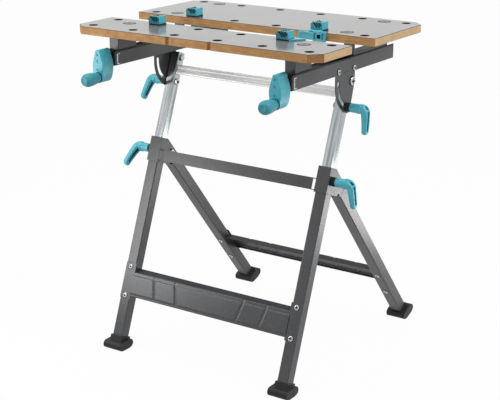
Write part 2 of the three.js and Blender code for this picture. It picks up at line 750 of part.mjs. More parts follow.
for (const [side, word] of sides) {
  const frontSide = addGroup(frontFrame, side * legX, 0, 0);
  addPiece(frontSide, `front_leg_${word}`, frontLeg(side), painted);
  addPiece(frontSide, `collar_${word}`, collar(side), painted);
  addPiece(frontSide, `lift_tube_${word}`, liftTube(), plated);
  const hingeBolt = throughBolt(side, collarHalf, collarHalf, boltHeadDiameter);
  addPiece(addGroup(frontSide, 0, hingeBehind, hingeAlong), `leg_hinge_bolt_${word}`, hingeBolt, zinc);
  const pivotBolt = throughBolt(side, tubeHalf, railHalf, pivotHeadDiameter);
  addPiece(addGroup(frontSide, 0, 0, tiltAlong), `tilt_pivot_bolt_${word}`, pivotBolt, zinc);
  addPiece(addGroup(bench, side * legX, 0, 0), `front_foot_${word}`, foot(-front, frontPad), blackPlastic);
  const rearPlace = addGroup(bench, side * legX, rearFootY, 0);
  addPiece(rearPlace, `rear_foot_${word}`, foot(rear, rearPad), blackPlastic);
  addPiece(addGroup(rearFrame, side * legX, 0, 0), `rear_leg_${word}`, rearLeg(), painted);

  const tableSide = addGroup(table, side * legX, 0, 0);
  addPiece(tableSide, `rail_${word}`, rail(side), painted);
  addPiece(tableSide, `rear_riser_${word}`, riser(), painted);
  addPiece(tableSide, `carriage_${word}`, carriage(), painted);
  addPiece(tableSide, `spindle_nut_${word}`, spindleNut(), blackPlastic);
  addPiece(tableSide, `spindle_bearing_${word}`, spindleBearing(), blackPlastic);
  const spindle = rodY(spindleDiameter, crankBack - spindleGrip, spindleEnd, 0, spindleZ);
  addPiece(tableSide, `spindle_${word}`, spindle, zinc);
  for (const [place, y] of [['front', -railBoltFront], ['back', railBoltBack]]) {
    const boltGroup = addGroup(tableSide, 0, y, railRise + railBoltRise);
    addPiece(boltGroup, `rail_bolt_${place}_${word}`, railBolt(side), zinc);
  }
  const crankGroup = addGroup(tableSide, 0, crankBack, spindleZ);
  addPiece(crankGroup, `crank_${word}`, crank(), teal);
  addPiece(addGroup(crankGroup, 0, -crankDepth - fitGap, -crankThrow), `grip_${word}`, grip(), teal);

  const heightSeat = collarHalf + fitGap;
  const heightStud = clampStud(side, tubeHalf + fitGap, heightSeat, 0);
  addClamp([side, word], 'height', hingeAlong, heightLeverTurn, heightStud, heightSeat);
  const tiltSeat = railHalf + fitGap;
  const tiltStud = clampStud(side, -tubeHalf - fitGap - boltHeadHeight, tiltSeat, boltHeadHeight);
  addClamp([side, word], 'tilt', studAlong, tiltLeverTurn, tiltStud, tiltSeat);
}

addPiece(frontFrame, 'cross_brace', crossBrace(), painted);
addPiece(frontFrame, 'front_tread', tread(front, frontTreadRise), painted);
addPiece(frontFrame, 'lift_crossbar', liftCrossbar(), plated);
const rearTreadGroup = addGroup(rearFrame, 0, 0, 0);
rearTreadGroup.rotation.z = Math.PI;
addPiece(rearTreadGroup, 'rear_tread', tread(rear, rearTreadRise), painted);
addPiece(table, 'front_plate', worktop(frontPlateFront, frontPlateBack, frontRowInset, true), laminate);
addPiece(table, 'rear_plate', worktop(rearPlateBack, rearPlateFront, backRowInset, false), laminate);

const dogX = (dogHoleColumns / 2 - 1.5) * dogHolePitch;
const frontDogY = frontPlateBack - jawRowInset;
const rearDogY = rearPlateFront + jawRowInset;
for (const [row, y] of [['front', frontDogY], ['rear', rearDogY]]) {
  for (const [side, word] of sides) {
    addPiece(addGroup(table, side * dogX, y, plateTop), `dog_${row}_${word}`, dog(), teal);
  }
  const stopGroup = addGroup(table, dogX, y, plateTop);
  stopGroup.rotation.z = row === 'front' ? Math.PI : 0;
  addPiece(stopGroup, `edge_stop_${row}`, edgeStop(), teal);
}

// The origin is on the floor, below the middle of the bench
bench.updateMatrixWorld(true);
const middle = new THREE.Box3().setFromObject(bench, true).getCenter(new THREE.Vector3());
bench.position.set(-middle.x, -middle.y, 0);

export default bench;
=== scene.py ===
import json
from math import copysign, cos, pi, radians, sin, tan

import bmesh
import bpy
import numpy as np
from mathutils import Matrix, Vector
from mathutils.geometry import tessellate_polygon


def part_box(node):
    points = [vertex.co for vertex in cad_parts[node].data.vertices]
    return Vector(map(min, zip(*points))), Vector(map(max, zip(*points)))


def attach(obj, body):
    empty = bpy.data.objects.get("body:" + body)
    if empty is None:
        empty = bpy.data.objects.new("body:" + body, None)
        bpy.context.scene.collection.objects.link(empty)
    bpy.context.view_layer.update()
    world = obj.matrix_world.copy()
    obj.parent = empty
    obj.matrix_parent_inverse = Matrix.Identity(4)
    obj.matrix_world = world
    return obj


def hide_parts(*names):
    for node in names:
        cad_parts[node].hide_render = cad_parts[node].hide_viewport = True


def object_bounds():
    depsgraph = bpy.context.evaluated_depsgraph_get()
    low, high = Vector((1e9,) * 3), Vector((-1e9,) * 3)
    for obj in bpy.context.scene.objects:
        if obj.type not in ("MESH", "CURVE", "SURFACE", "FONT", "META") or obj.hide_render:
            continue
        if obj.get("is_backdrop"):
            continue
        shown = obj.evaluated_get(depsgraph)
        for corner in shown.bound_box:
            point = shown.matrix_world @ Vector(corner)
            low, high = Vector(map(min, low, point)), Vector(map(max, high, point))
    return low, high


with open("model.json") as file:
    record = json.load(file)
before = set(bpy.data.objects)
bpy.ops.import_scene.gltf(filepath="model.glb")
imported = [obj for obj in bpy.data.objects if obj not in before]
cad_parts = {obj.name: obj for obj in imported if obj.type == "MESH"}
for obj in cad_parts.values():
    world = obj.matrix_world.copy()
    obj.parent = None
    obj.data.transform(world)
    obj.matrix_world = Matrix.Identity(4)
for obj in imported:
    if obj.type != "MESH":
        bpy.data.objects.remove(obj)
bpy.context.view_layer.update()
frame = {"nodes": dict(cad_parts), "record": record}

record = frame["record"]
nodeBody = {n: b for b, members in record["behaviour"]["bodies"].items() for n in members}
sides = ((-1, "left"), (1, "right"))
scene = bpy.context.scene


class Sizes(dict):  # a dictionary whose values are also read by name
    __getattr__ = dict.__getitem__


# where the frame's lines lie: both legs lean in the side view, the table turns on the pivot
bench = Sizes(
    frontLean=radians(20.6),
    rearLean=radians(40),
    legX=0.236,  # middle of the legs and rails, left and right
    tiltAlong=0.721,  # tilt pivot, along the front leg from the floor
    studAlong=0.661,  # tilt clamp
    hingeAlong=0.491,  # height clamp and the rear leg's hinge
    hingeBehind=0.033,
    railFront=-0.253,  # from the pivot
)
legX = bench.legX
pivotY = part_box("rail_left")[0].y - bench.railFront
pivotZ = bench.tiltAlong * cos(bench.frontLean)
frontFootY = pivotY - bench.tiltAlong * sin(bench.frontLean)


# (x, behind the leg, along it) turned by the leg's lean about its foot
def besideLeg(q, lean, footY):
    x, y, z = np.moveaxis(np.asarray(q, float), -1, 0)
    c, s = cos(lean), sin(lean)
    return np.stack([x, footY + y * c + z * s, z * c - y * s], -1)


def besideFrontLeg(q):
    return besideLeg(q, bench.frontLean, frontFootY)


hingeY, hingeZ = besideFrontLeg((0, bench.hingeBehind, bench.hingeAlong))[1:]
rearFootY = hingeY + hingeZ * tan(bench.rearLean)
rearHingeAlong = hingeZ / cos(bench.rearLean)


def besideRearLeg(q):
    return besideLeg(q, -bench.rearLean, rearFootY)


def onTable(q):  # from the tilt pivot to the bench's frame
    return np.asarray(q, float) + (0, pivotY, pivotZ)


def unit(v):  # each vector over its own length
    return v / np.linalg.norm(v, axis=-1, keepdims=True)


def leftOf(v):  # flat directions turned a quarter to the left
    return np.stack([-v[:, 1], v[:, 0]], 1)


def facing(origin, axis, up=(0, 0, 1)):  # a place whose third direction is the axis
    w = unit(np.asarray(axis, float))
    u = unit(np.cross(up, w))
    return lambda q: np.asarray(origin) + q @ np.stack([u, np.cross(w, u), w])


def turns(count):  # angles once round
    return np.linspace(0, 2 * pi, count, endpoint=False)


# circle: centre plus radius times (cos t, sin t)
def circle(x, y, radius, count=48):
    return np.stack([x + radius * np.cos(turns(count)), y + radius * np.sin(turns(count))], 1)


def arc(x, y, radius, start, end, count):  # over part of a turn, in degrees
    t = np.radians(np.linspace(start, end, count))
    return np.stack([x + radius * np.cos(t), y + radius * np.sin(t)], 1)


sharp = 1e-7  # radius of a corner that stays sharp
straight = 0.99999  # cosine past which two edges count as one line
slack = 1e-5  # room for rounding errors, in metres
leastArea = 1e-20  # keeps an empty face from a division by nothing


# each corner becomes an arc that touches both edges: its centre is on the bisector, at r / sin(half angle)
def roundCorners(points, radius, steps=5):
    p = np.asarray(points, float)
    r = np.broadcast_to(radius, len(p)).clip(sharp)[:, None]
    a, b = (unit(np.roll(p, step, 0) - p) for step in (1, -1))
    half = np.arccos((a * b).sum(1, keepdims=True).clip(-straight, straight)) / 2
    middle = p + unit(a + b) * r / np.sin(half)
    u, v = ((p + way * r / np.tan(half) - middle)[:, None] for way in (a, b))
    turn = (pi - 2 * half)[:, None]
    s = np.linspace(0, 1, steps)[None, :, None]
    swept = (np.sin((1 - s) * turn) * u + np.sin(s * turn) * v) / np.sin(turn)
    return (middle[:, None] + swept).reshape(-1, 2)


# every edge of an anticlockwise loop moves inwards by the same amount, so corners move along their mitre
def inset(loop, amount):
    n = leftOf(unit(np.roll(loop, -1, 0) - loop))
    before = np.roll(n, 1, 0)
    return loop + amount * (n + before) / (1 + (n * before).sum(1, keepdims=True))


def roundedBox(width, height, radius, x=0, y=0, steps=5):  # a rectangle about (x, y)
    w, h = width / 2, height / 2
    return roundCorners([(x - w, y - h), (x + w, y - h), (x + w, y + h), (x - w, y + h)], radius, steps)


# quads between neighbouring rings; the ends get one face each, or the last ring joins the first
def skin(rings, joined=False, index=0):
    rings = np.asarray(rings, float)
    n, m = rings.shape[:2]
    i = np.arange(n if joined else n - 1)[:, None]
    j = np.arange(m)[None]
    k, after = (i + 1) % n, (j + 1) % m
    quads = np.stack([i * m + j, i * m + after, k * m + after, k * m + j], -1).reshape(-1, 4).tolist()
    ends = [] if joined else [list(range(m))[::-1], list(range((n - 1) * m, n * m))]
    faces = quads + ends
    return rings.reshape(-1, 3), faces, np.full(len(faces), index)


def lifted(loop, height):  # a flat loop at one height
    return np.column_stack([loop, np.full(len(loop), height)])


# rim: ring k is the outline inset by r(1 - sin t) and sunk by r(1 - cos t), for t from 0 to a quarter turn
def rimRings(loop, high, rim, steps, sign=1):
    t = np.linspace(0, pi / 2, steps + 1)
    return [lifted(inset(loop, sign * rim * (1 - np.sin(a))), high - rim * (1 - np.cos(a))) for a in t]


# outline carried from low to high with rounded rims, pierced by holes and sunk by (loop, depth) pockets;
# the inks are those of the caps, the side, the holes and the pockets
def slab(outer, low, high, rim, place, holes=(), pockets=(), steps=3, inks=0, lowRim=None):
    capInk, sideInk, holeInk, pocketInk = np.broadcast_to(inks, 4)
    verts, faces, index, topLoops, lowLoops = [], [], [], [], []
    count = 0
    loops = [(outer, 1, 0, sideInk)] + [(h, -1, 0, holeInk) for h in holes]
    for loop, sign, depth, ink in loops + [(p, -1, d, pocketInk) for p, d in pockets]:
        edge = min(rim, depth / 3) if depth else rim
        rings = rimRings(loop, high, edge, steps, sign)
        if depth:
            rings += [lifted(loop, high - depth)]
        else:
            under = rimRings(loop, high, edge if lowRim is None else lowRim, steps, sign)
            rings += [r * (1, 1, -1) + (0, 0, low + high) for r in under[::-1]]
        v, f, _ = skin(rings)
        f = f[:-2] + (f[-1:] if depth else [])  # the caps are shared by all loops, a pocket keeps its floor
        verts.append(v)
        faces += [[a + count for a in face] for face in f]
        index += [ink] * len(f)
        topLoops.append((count, rings[0]))
        count += len(v)
        if not depth:
            lowLoops.append((count - len(loop), rings[-1]))
    for loops in (topLoops, lowLoops):
        names = np.concatenate([start + np.arange(len(r)) for start, r in loops])
        fill = tessellate_polygon([[Vector((*p[:2], 0)) for p in r] for _, r in loops])
        faces += [[int(names[a]) for a in tri] for tri in fill]
        index += [capInk] * len(fill)
    return place(np.concatenate(verts)), faces, np.array(index)


# turned form: each (radius, height) of the profile carried once round the axis
def lathe(profile, place, around=40, index=0):
    p = np.asarray(profile, float)
    t = turns(around)
    rings = np.stack([p[:, :1] * np.cos(t), p[:, :1] * np.sin(t), np.repeat(p[:, 1:], around, 1)], -1)
    return skin(place(rings), index=index)


def roundedTurn(radius, low, high, rim, steps=4):  # profile of a disc or rod with rounded rims
    t = np.linspace(0, pi / 2, steps + 1)
    r, lift = radius - rim + rim * np.cos(t), rim - rim * np.sin(t)
    return np.concatenate([np.stack([r, low + lift], 1)[::-1], np.stack([r, high - lift], 1)])


def rod(radius, low, high, rim, place, around, index=0, steps=4):  # a turned disc or rod
    return lathe(roundedTurn(radius, low, high, rim, steps), place, around, index)


# screw head: a dome of height 1 - c r^4 less a cross that sinks with smooth walls
screw = Sizes(rings=26, around=64, middle=0.02, drop=0.55, wing=0.17, reach=0.66, wall=0.06, sunk=0.6)


def screwHead(radius, height, place):
    r = radius * np.linspace(1, screw.middle, screw.rings)[:, None]
    t = turns(screw.around)[None]
    x, y = r * np.cos(t), r * np.sin(t)
    bar = lambda a, b: np.minimum(screw.wing * radius - np.abs(a), screw.reach * radius - np.abs(b))
    depth = np.clip(np.maximum(bar(x, y), bar(y, x)) / (screw.wall * radius) + 0.5, 0, 1)
    z = height * (1 - screw.drop * (r / radius) ** 4 - screw.sunk * depth)
    rings = np.concatenate([np.stack([x[:1], y[:1], 0 * z[:1]], -1), np.stack([x, y, z], -1)])
    verts, faces, ink = skin(place(rings))
    # the cross's sunken faces and the middle take ink 1: painted shade in the recess
    ink[screw.around:-2][(depth[1:] + depth[:-1]).ravel() > 1] = 1
    ink[-1] = 1
    return verts, faces, ink


def addObject(name, data):  # a new object in the scene
    made = bpy.data.objects.new(name, data)
    scene.collection.objects.link(made)
    return made


# the shells become one mesh, their inks its material slots
def addPiece(name, shells, tones, body=None, slotName=None, nodes=(), **kind):
    verts, faces, inks = zip(*shells)
    start = np.cumsum([0] + [len(v) for v in verts]).tolist()
    faces = [[a + first for a in face] for first, part in zip(start, faces) for face in part]
    mesh = bpy.data.meshes.new(name)
    mesh.from_pydata(np.concatenate(verts).tolist(), [], faces)
    mesh.polygons.foreach_set("material_index", np.concatenate(inks).astype(np.int32))
    settle(name, mesh, tones, nodes, body, slotName, **kind)


def dress(node, part, shells, tones, **kind):  # a piece that stands for a CAD node
    addPiece(f"{node}_{part}", shells, tones, nodes=(node,), **kind)


def keepFlat(piece):  # normals weighted by area, so rounded edges do not bend the flats
    weighted = piece.modifiers.new("flat faces stay flat", "WEIGHTED_NORMAL")
    weighted.keep_sharp = True


# tones are finishes by name, in the order of the shells' inks
def settle(name, mesh, tones, nodes=(), body=None, slotName=None, smooth=38, flatFaces=True):
    work = bmesh.new()
    work.from_mesh(mesh)
    bmesh.ops.recalc_face_normals(work, faces=work.faces)
    work.to_mesh(mesh)
    work.free()
    for tone in tones.split():
        mesh.materials.append(finish[tone])
    mesh.shade_smooth()
    mesh.set_sharp_from_angle(angle=radians(smooth))
    piece = addObject(name, mesh)
    if flatFaces:
        keepFlat(piece)
    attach(piece, body or nodeBody[nodes[0]])
    if nodes:
        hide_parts(*nodes)
    return piece


# a copy of a CAD node with its loose triangles merged, its flats made whole and its edges rounded
copied = Sizes(merge=3e-6, flat=radians(0.6), segments=3, edge=radians(32))


def roundedCopy(node, width, tone):
    name = f"{node}_rounded"
    mesh = frame["nodes"][node].data.copy()
    mesh.name = name
    mesh.materials.clear()
    work = bmesh.new()
    work.from_mesh(mesh)
    bmesh.ops.remove_doubles(work, verts=work.verts, dist=copied.merge)
    bmesh.ops.dissolve_limit(work, angle_limit=copied.flat, verts=work.verts, edges=work.edges)
    work.to_mesh(mesh)
    work.free()
    mesh.polygons.foreach_set("material_index", np.zeros(len(mesh.polygons), np.int32))
    piece = settle(name, mesh, tone, (node,), flatFaces=False)
    bevel = piece.modifiers.new("edge rounding", "BEVEL")
    bevel.width = width
    bevel.segments = copied.segments
    bevel.limit_method = "ANGLE"
    bevel.angle_limit = copied.edge
    keepFlat(piece)


# finishes: one builder, a colour that wanders between two tones, a roughness range and a fine relief
usual = dict(relief=900, metal=0, patch=60, shine=0.5, stretch=(1, 1, 1), turn=0)
board = dict(grain=1, rough=(0.5, 0.66), relief=1.6, depth=1.2e-4, shine=0.25)
finishes = {
    "powderCoat": dict(dark=(0.0135, 0.0143, 0.016), light=(0.047, 0.0485, 0.0535), grain=430,
        rough=(0.31, 0.37), depth=2e-5, patch=9, shine=0.62),
    # the coat made matt and painted darker: painted shade on the treads' step faces
    "mattCoat": dict(dark=(0.012, 0.013, 0.016), light=(0.038, 0.04, 0.047), grain=430, rough=(0.52, 0.62),
        depth=6e-5, patch=9, shine=0.12),
    "platedSteel": dict(dark=(0.2, 0.23, 0.25), light=(0.6, 0.63, 0.63), grain=1, rough=(0.12, 0.26),
        relief=2, depth=2e-5, metal=1, patch=5, stretch=(170, 170, 5), turn=20.6),
    "platedBar": dict(dark=(0.6, 0.6, 0.6), light=(0.82, 0.81, 0.79), grain=1, rough=(0.3, 0.36), relief=2,
        depth=4e-6, metal=0.5, patch=5, stretch=(2, 100, 100)),
    "zincSteel": dict(dark=(0.34, 0.35, 0.36), light=(0.62, 0.63, 0.64), grain=420, rough=(0.18, 0.34),
        depth=3e-5, metal=1),
    "tealPlastic": dict(dark=(0.05, 0.355, 0.44), light=(0.072, 0.45, 0.545), grain=120, rough=(0.3, 0.42),
        relief=1400, depth=5e-5, patch=25),
    # dark copy of the teal plastic: painted shade in the dogs' trenches, slots and base, the levers' grooves,
    # the crank's joint ring and the stops' windows and panes
    "tealRecess": dict(dark=(0.006, 0.032, 0.042), light=(0.011, 0.052, 0.066), grain=200,
        rough=(0.45, 0.6), relief=1400, depth=5e-5, patch=25, shine=0.15),
    # darker copy of the teal plastic: painted shade on the grips
    "tealGripShade": dict(dark=(0.033, 0.232, 0.29), light=(0.047, 0.298, 0.362), grain=160, rough=(0.42, 0.55),
        relief=1600, depth=4e-5, patch=24, shine=0.3),
    # darker copy of the teal plastic: painted shade on the dogs' front faces
    "tealShade": dict(dark=(0.028, 0.195, 0.246), light=(0.041, 0.262, 0.322), grain=300, rough=(0.4, 0.55),
        depth=1e-4, patch=25),
    # black plastic parts; also painted shade in the screws' cross recesses and painted contact shadow round
    # their heads
    "blackPlastic": dict(dark=(0.009, 0.009, 0.009), light=(0.019, 0.018, 0.018), grain=500,
        rough=(0.38, 0.56), relief=1100, depth=1.2e-4, patch=30, shine=0.25),
    "greyLaminate": dict(dark=(0.125, 0.122, 0.12), light=(0.2, 0.196, 0.192), grain=520, rough=(0.1, 0.17),
        relief=700, depth=2e-5, patch=14),
    "laminateCap": dict(dark=(0.06, 0.059, 0.058), light=(0.105, 0.103, 0.101), grain=420,
        rough=(0.25, 0.4), relief=700, depth=4e-5, patch=40, shine=0.3),
    "boardEdge": dict(board, dark=(0.35, 0.17, 0.058), light=(0.58, 0.325, 0.13), depth=1e-4,
        stretch=(26, 26, 700)),
    # end grain painted lighter than the long edges: painted light
    "boardEnd": dict(board, dark=(0.43, 0.28, 0.145), light=(0.64, 0.465, 0.265), stretch=(400, 400, 700)),
    # board painted darker on cut corners and groove walls: painted shade
    "boardCut": dict(board, dark=(0.25, 0.112, 0.046), light=(0.42, 0.205, 0.09), stretch=(60, 60, 700)),
    # dark brown: painted shade in the dog holes and on the caps' rings and sockets; also the laminate's dark
    # cut edge
    "holeWall": dict(dark=(0.014, 0.009, 0.006), light=(0.034, 0.021, 0.013), grain=600, rough=(0.5, 0.7),
        depth=1e-4, shine=0.1),
}
mixing = Sizes(patchShare=0.3, toneEnds=(0.36, 0.64), roughEnds=(0.3, 0.7), bump=0.6)


# feeds go to the inputs in order, the rest by name; a socket is linked, anything else is set
def feed(tree, node, *feeds, **inputs):
    named = [(node.inputs[key.replace("_", " ")], value) for key, value in inputs.items()]
    for socket, value in list(zip(node.inputs, feeds)) + named:
        if isinstance(value, bpy.types.NodeSocket):
            tree.links.new(value, socket)
        else:
            socket.default_value = value
    return node


def addNode(tree, kind, *feeds, **inputs):  # a new node with its feeds
    return feed(tree, tree.nodes.new("ShaderNode" + kind), *feeds, **inputs)


def makeFinish(name, values):
    s = Sizes(usual, **values)
    made = bpy.data.materials.new(name)
    made.use_nodes = True
    tree = made.node_tree
    where = addNode(tree, "TexCoord").outputs["Object"]
    place = addNode(tree, "Mapping", Vector=where, Rotation=(radians(-s.turn), 0, 0),
                    Scale=[1 / v for v in s.stretch])
    place.vector_type = "TEXTURE"  # turned first, then stretched

    def noise(key, vector, detail, rough):
        cloud = addNode(tree, "TexNoise", Vector=vector, Scale=s[key], Detail=detail, Roughness=rough)
        return cloud.outputs["Fac"]

    grain = noise("grain", place.outputs["Vector"], 4, 0.6)
    patch = noise("patch", where, 2, 0.5)
    relief = noise("relief", place.outputs["Vector"], 2, 0.5)
    both = addNode(tree, "Mix", Factor=mixing.patchShare, A=grain, B=patch).outputs["Result"]
    tone = addNode(tree, "ValToRGB", Fac=both)
    for end, position, key in zip(tone.color_ramp.elements, mixing.toneEnds, ("dark", "light")):
        end.position = position
        end.color = (*s[key], 1)
    gloss = addNode(tree, "MapRange", both, *mixing.roughEnds, *s.rough)
    bump = addNode(tree, "Bump", Height=relief, Strength=mixing.bump, Distance=s.depth)
    feed(tree, tree.nodes["Principled BSDF"], Base_Color=tone.outputs["Color"],
         Roughness=gloss.outputs["Result"], Normal=bump.outputs["Normal"], Metallic=s.metal,
         Specular_IOR_Level=s.shine)
    return made


finish = {name: makeFinish(name, values) for name, values in finishes.items()}
print("finishes made:", len(finish))

# worktop plates: grey laminate on board, corners cut off at the outer edge, two rows of dog holes
worktop = Sizes(
    length=0.65, low=0.0899, high=0.1079, chamfer=0.025,
    front=Sizes(outer=-0.277, jaw=-0.136, rows=(-0.248, -0.158), grooves=(-0.0555, 0.0555)),
    rear=Sizes(outer=0.212, jaw=-0.036, rows=(-0.014, 0.185), grooves=()),
    hole=0.01, columns=(-0.2875, -0.1725, -0.0575, 0.0575, 0.1725, 0.2875),
    grooveWidth=0.01, grooveDepth=0.005, rim=0.0008, corner=0.0015,
    endTurn=0.93, cutTurn=0.3,  # how far a face looks sideways
)
halfLength, chamfer = worktop.length / 2, worktop.chamfer
laminateLow = pivotZ + worktop.high - worktop.rim - slack
boardTones = "greyLaminate boardEdge boardEnd holeWall boardCut"
for word in ("front", "rear"):
    plate = worktop[word]
    outer, jaw = plate.outer, plate.jaw
    inward = int(copysign(1, jaw - outer))
    half, cut = worktop.grooveWidth / 2, outer + inward * chamfer
    edge = [(-halfLength + chamfer, outer)]
    for x in plate.grooves:
        edge += [(x - half, outer), (x, outer + inward * worktop.grooveDepth), (x + half, outer)]
    edge += [(halfLength - chamfer, outer), (halfLength, cut), (halfLength, jaw)]
    edge += [(-halfLength, jaw), (-halfLength, cut)]
    outline = roundCorners(edge[::inward], worktop.corner, 4)
    holes = [circle(x, y, worktop.hole) for y in plate.rows for x in worktop.columns]
    # the holes' walls take ink 3: painted shade inside the dog holes
    shell = slab(outline, worktop.low, worktop.high, worktop.rim, onTable, holes, inks=(0, 1, 3, 0))
    verts, faces, ink = shell
    a, b, c = (verts[[f[k] for f in faces]] for k in range(3))
    across = np.cross(b - a, c - a)
    sideways = np.abs(across[:, 0]) / (np.linalg.norm(across, axis=1) + leastArea)
    ink[(ink == 1) & (sideways > worktop.endTurn)] = 2  # the short ends show end grain, painted lighter as if lit from the side
    ink[(ink == 1) & (sideways > worktop.cutTurn)] = 4  # cut corners and grooves are darker: painted shade
    lowest = np.array([verts[f, 2].min() for f in faces])
    ink[np.isin(ink, (1, 2, 4)) & (lowest > laminateLow)] = 3  # the laminate's cut edge
    dress(f"{word}_plate", "board", [shell], boardTones)
print("plates done")

# flush caps over the plates' fixing screws: a dark ring of painted shade round each, a disc in it and a
# socket at its middle whose floor is painted shade
plateCap = Sizes(
    x=0.2345, radius=0.0153, ring=0.0024, rise=0.0003, socket=0.0028, socketDepth=0.0014, sunk=0.002,
    around=56, front=(-0.1833,), rear=(0.0012, 0.1777), bodies=Sizes(front="front_jaw", rear="table"),
)
r, rise, sunk, around = map(plateCap.get, "radius rise sunk around".split())
for word in ("front", "rear"):
    for row, y in enumerate(plateCap[word]):
        for side, place in sides:
            seat = facing(onTable((side * plateCap.x, y, worktop.high)), (0, 0, 1), (0, 1, 0))
            ring = slab(circle(0, 0, r, around), -sunk, rise / 2, rise / 4, seat, steps=2, inks=1)
            socket = (circle(0, 0, plateCap.socket, 6), plateCap.socketDepth)
            disc = slab(circle(0, 0, r - plateCap.ring, around), -sunk / 2, rise, rise / 4, seat,
                        pockets=[socket], steps=2, inks=(0, 1, 1, 1))
            tones, body = "laminateCap holeWall", plateCap.bodies[word]
            addPiece(f"plate_cap_{word}_{row}_{place}", [ring, disc], tones, body, "worktop")

# square tubes with rolled corners: outer ring up, inner ring back down
tube = Sizes(lip=0.0003, inside=0.0004, steps=6)
leg = Sizes(
    half=0.014, corner=0.0026, wall=0.0018, front=(0.0142, 0.5207), rearLow=0.0227, mouth=0.033, earLap=0.002,
    earSide=0.0112, earArc=(38, 180, 18), earHole=0.0046, earRim=0.0003, back=0.0029, backCorner=0.0013,
    backRise=0.004,
)
lift = Sizes(half=0.0119, corner=0.0022, wall=0.0015, span=(0.38, 0.7329))


def squareTube(kind, low, high, place):
    half, radius, wall, lip = kind.half, kind.corner, kind.wall, tube.lip
    outside = roundedBox(2 * half, 2 * half, radius, steps=tube.steps)
    clear = 2 * (half - wall)
    inside = roundedBox(clear, clear, max(radius - wall, tube.inside), steps=tube.steps)
    rings = [lifted(inset(outside, lip), low), lifted(outside, low + lip), lifted(outside, high - lip),
             lifted(inset(outside, lip), high), lifted(inside, high), lifted(inside, low)]
    return skin(place(np.array(rings)), joined=True)


half, wall = leg.half, leg.wall
mouth = rearHingeAlong - leg.mouth
foot = mouth - leg.earLap
for side, word in sides:
    shifted = lambda q: besideFrontLeg(q + (side * legX, 0, 0))
    dress(f"front_leg_{word}", "tube", [squareTube(leg, *leg.front, shifted)], "powderCoat")
    dress(f"lift_tube_{word}", "tube", [squareTube(lift, *lift.span, shifted)], "platedSteel")
    back = lambda q: besideRearLeg(q + (side * legX, 0, 0))
    shells = [squareTube(leg, leg.rearLow, mouth, back)]
    for ear in (-1, 1):  # two rounded ears and the back wall carry the hinge bolt
        bow = arc(0, rearHingeAlong, half, *leg.earArc)
        outline = np.concatenate([[(-half, foot), (leg.earSide, foot)], bow])
        upright = lambda q: back(q[..., [2, 0, 1]] + (ear * (half - wall / 2), 0, 0))
        hole = circle(0, rearHingeAlong, leg.earHole, 24)
        shells.append(slab(outline, -wall / 2, wall / 2, leg.earRim, upright, [hole]))
    strip = roundedBox(2 * half, leg.back, leg.backCorner, 0, half - leg.back / 2)
    shells.append(skin(back(np.array([lifted(strip, foot), lifted(strip, rearHingeAlong + leg.backRise)]))))
    dress(f"rear_leg_{word}", "tube", shells, "powderCoat")
print("legs and lift tubes done")

# pressed treads: one bent sheet along X whose panel carries raised fields with sloping shoulders
treads = Sizes(
    height=0.06, step=0.028, lip=0.008, sheet=0.0015, bend=0.0022, bendSteps=7, face=0.0158,
    half=0.2217, raised=0.0016, shoulder=0.0026, insetTop=0.008, slant=0.011, rows=66, columns=300,
    fields=((0.162, 0.25), (0.099, 0.157), (-0.094, 0.094)),
    dents=(0.1595, 0.0965), dent=0.0012, dentWide=0.003, dentReach=0.004,
    front=Sizes(bottom=0.128, lean=bench.frontLean, turn=1, tabEnd=0.0137, place=besideFrontLeg),
    rear=Sizes(bottom=0.138, lean=bench.rearLean, turn=-1, tabEnd=0.0085, place=besideRearLeg),
    tabAbove=0.022, tabBelow=0.006, tabCorner=0.002, tabLap=0.0015, tabRim=0.0004,
)


def treadSheet(t):  # the outer face: (along X, down the bent section), and the step's row count
    face, top, bottom, steps = -treads.face, t.bottom + treads.height, t.bottom, treads.bendSteps
    level = np.array([cos(t.lean), sin(t.lean)])
    turn = np.array([[face, top] + treads.step * level, [face, top], [face, bottom],
                     [face, bottom] + treads.lip * level])
    bends = roundCorners(turn, [sharp, treads.bend, treads.bend, sharp], steps)[steps - 1:3 * steps + 1]
    bends[0], bends[-1] = turn[0], turn[-1]
    reach = np.concatenate([[0], np.cumsum(np.linalg.norm(np.diff(bends, axis=0), axis=1))])
    v = np.unique(np.concatenate([reach, np.linspace(0, reach[-1], treads.rows)]))
    behind, along = (np.interp(v, reach, bends[:, k])[:, None] for k in (0, 1))
    x = np.linspace(-treads.half, treads.half, treads.columns)[None]
    # field height: the least distance to the field's four sides, over the shoulder, smoothed as 3s^2 - 2s^3
    low, high = bottom + treads.insetTop, top - treads.insetTop
    lean = treads.slant * (1 - np.clip((along - low) / (high - low), 0, 1))
    within = np.minimum(along - low, high - along)
    rise = np.zeros((len(v), x.size))
    for inner, outer in treads.fields:
        for mirror in ((1, -1) if inner > 0 else (1,)):
            u = mirror * x
            leftLean = lean if inner > 0 else -lean
            d = np.minimum(np.minimum(u - inner + leftLean, outer - lean - u), within)
            s = np.clip(d / treads.shoulder + 0.5, 0, 1)
            rise = np.maximum(rise, s * s * (3 - 2 * s))
    out = treads.raised * rise * (np.abs(behind - face) < slack)  # on the panel only
    for gap in treads.dents:  # in the upper bend where the gaps between the fields run out
        across, down = (np.abs(x) - gap) / treads.dentWide, (v[:, None] - treads.step) / treads.dentReach
        out = out - treads.dent * np.exp(-across ** 2) * np.exp(-down ** 2)
    grid = np.stack(np.broadcast_arrays(x, behind - out, along), -1)
    return grid, np.count_nonzero(v < treads.step - treads.bend)


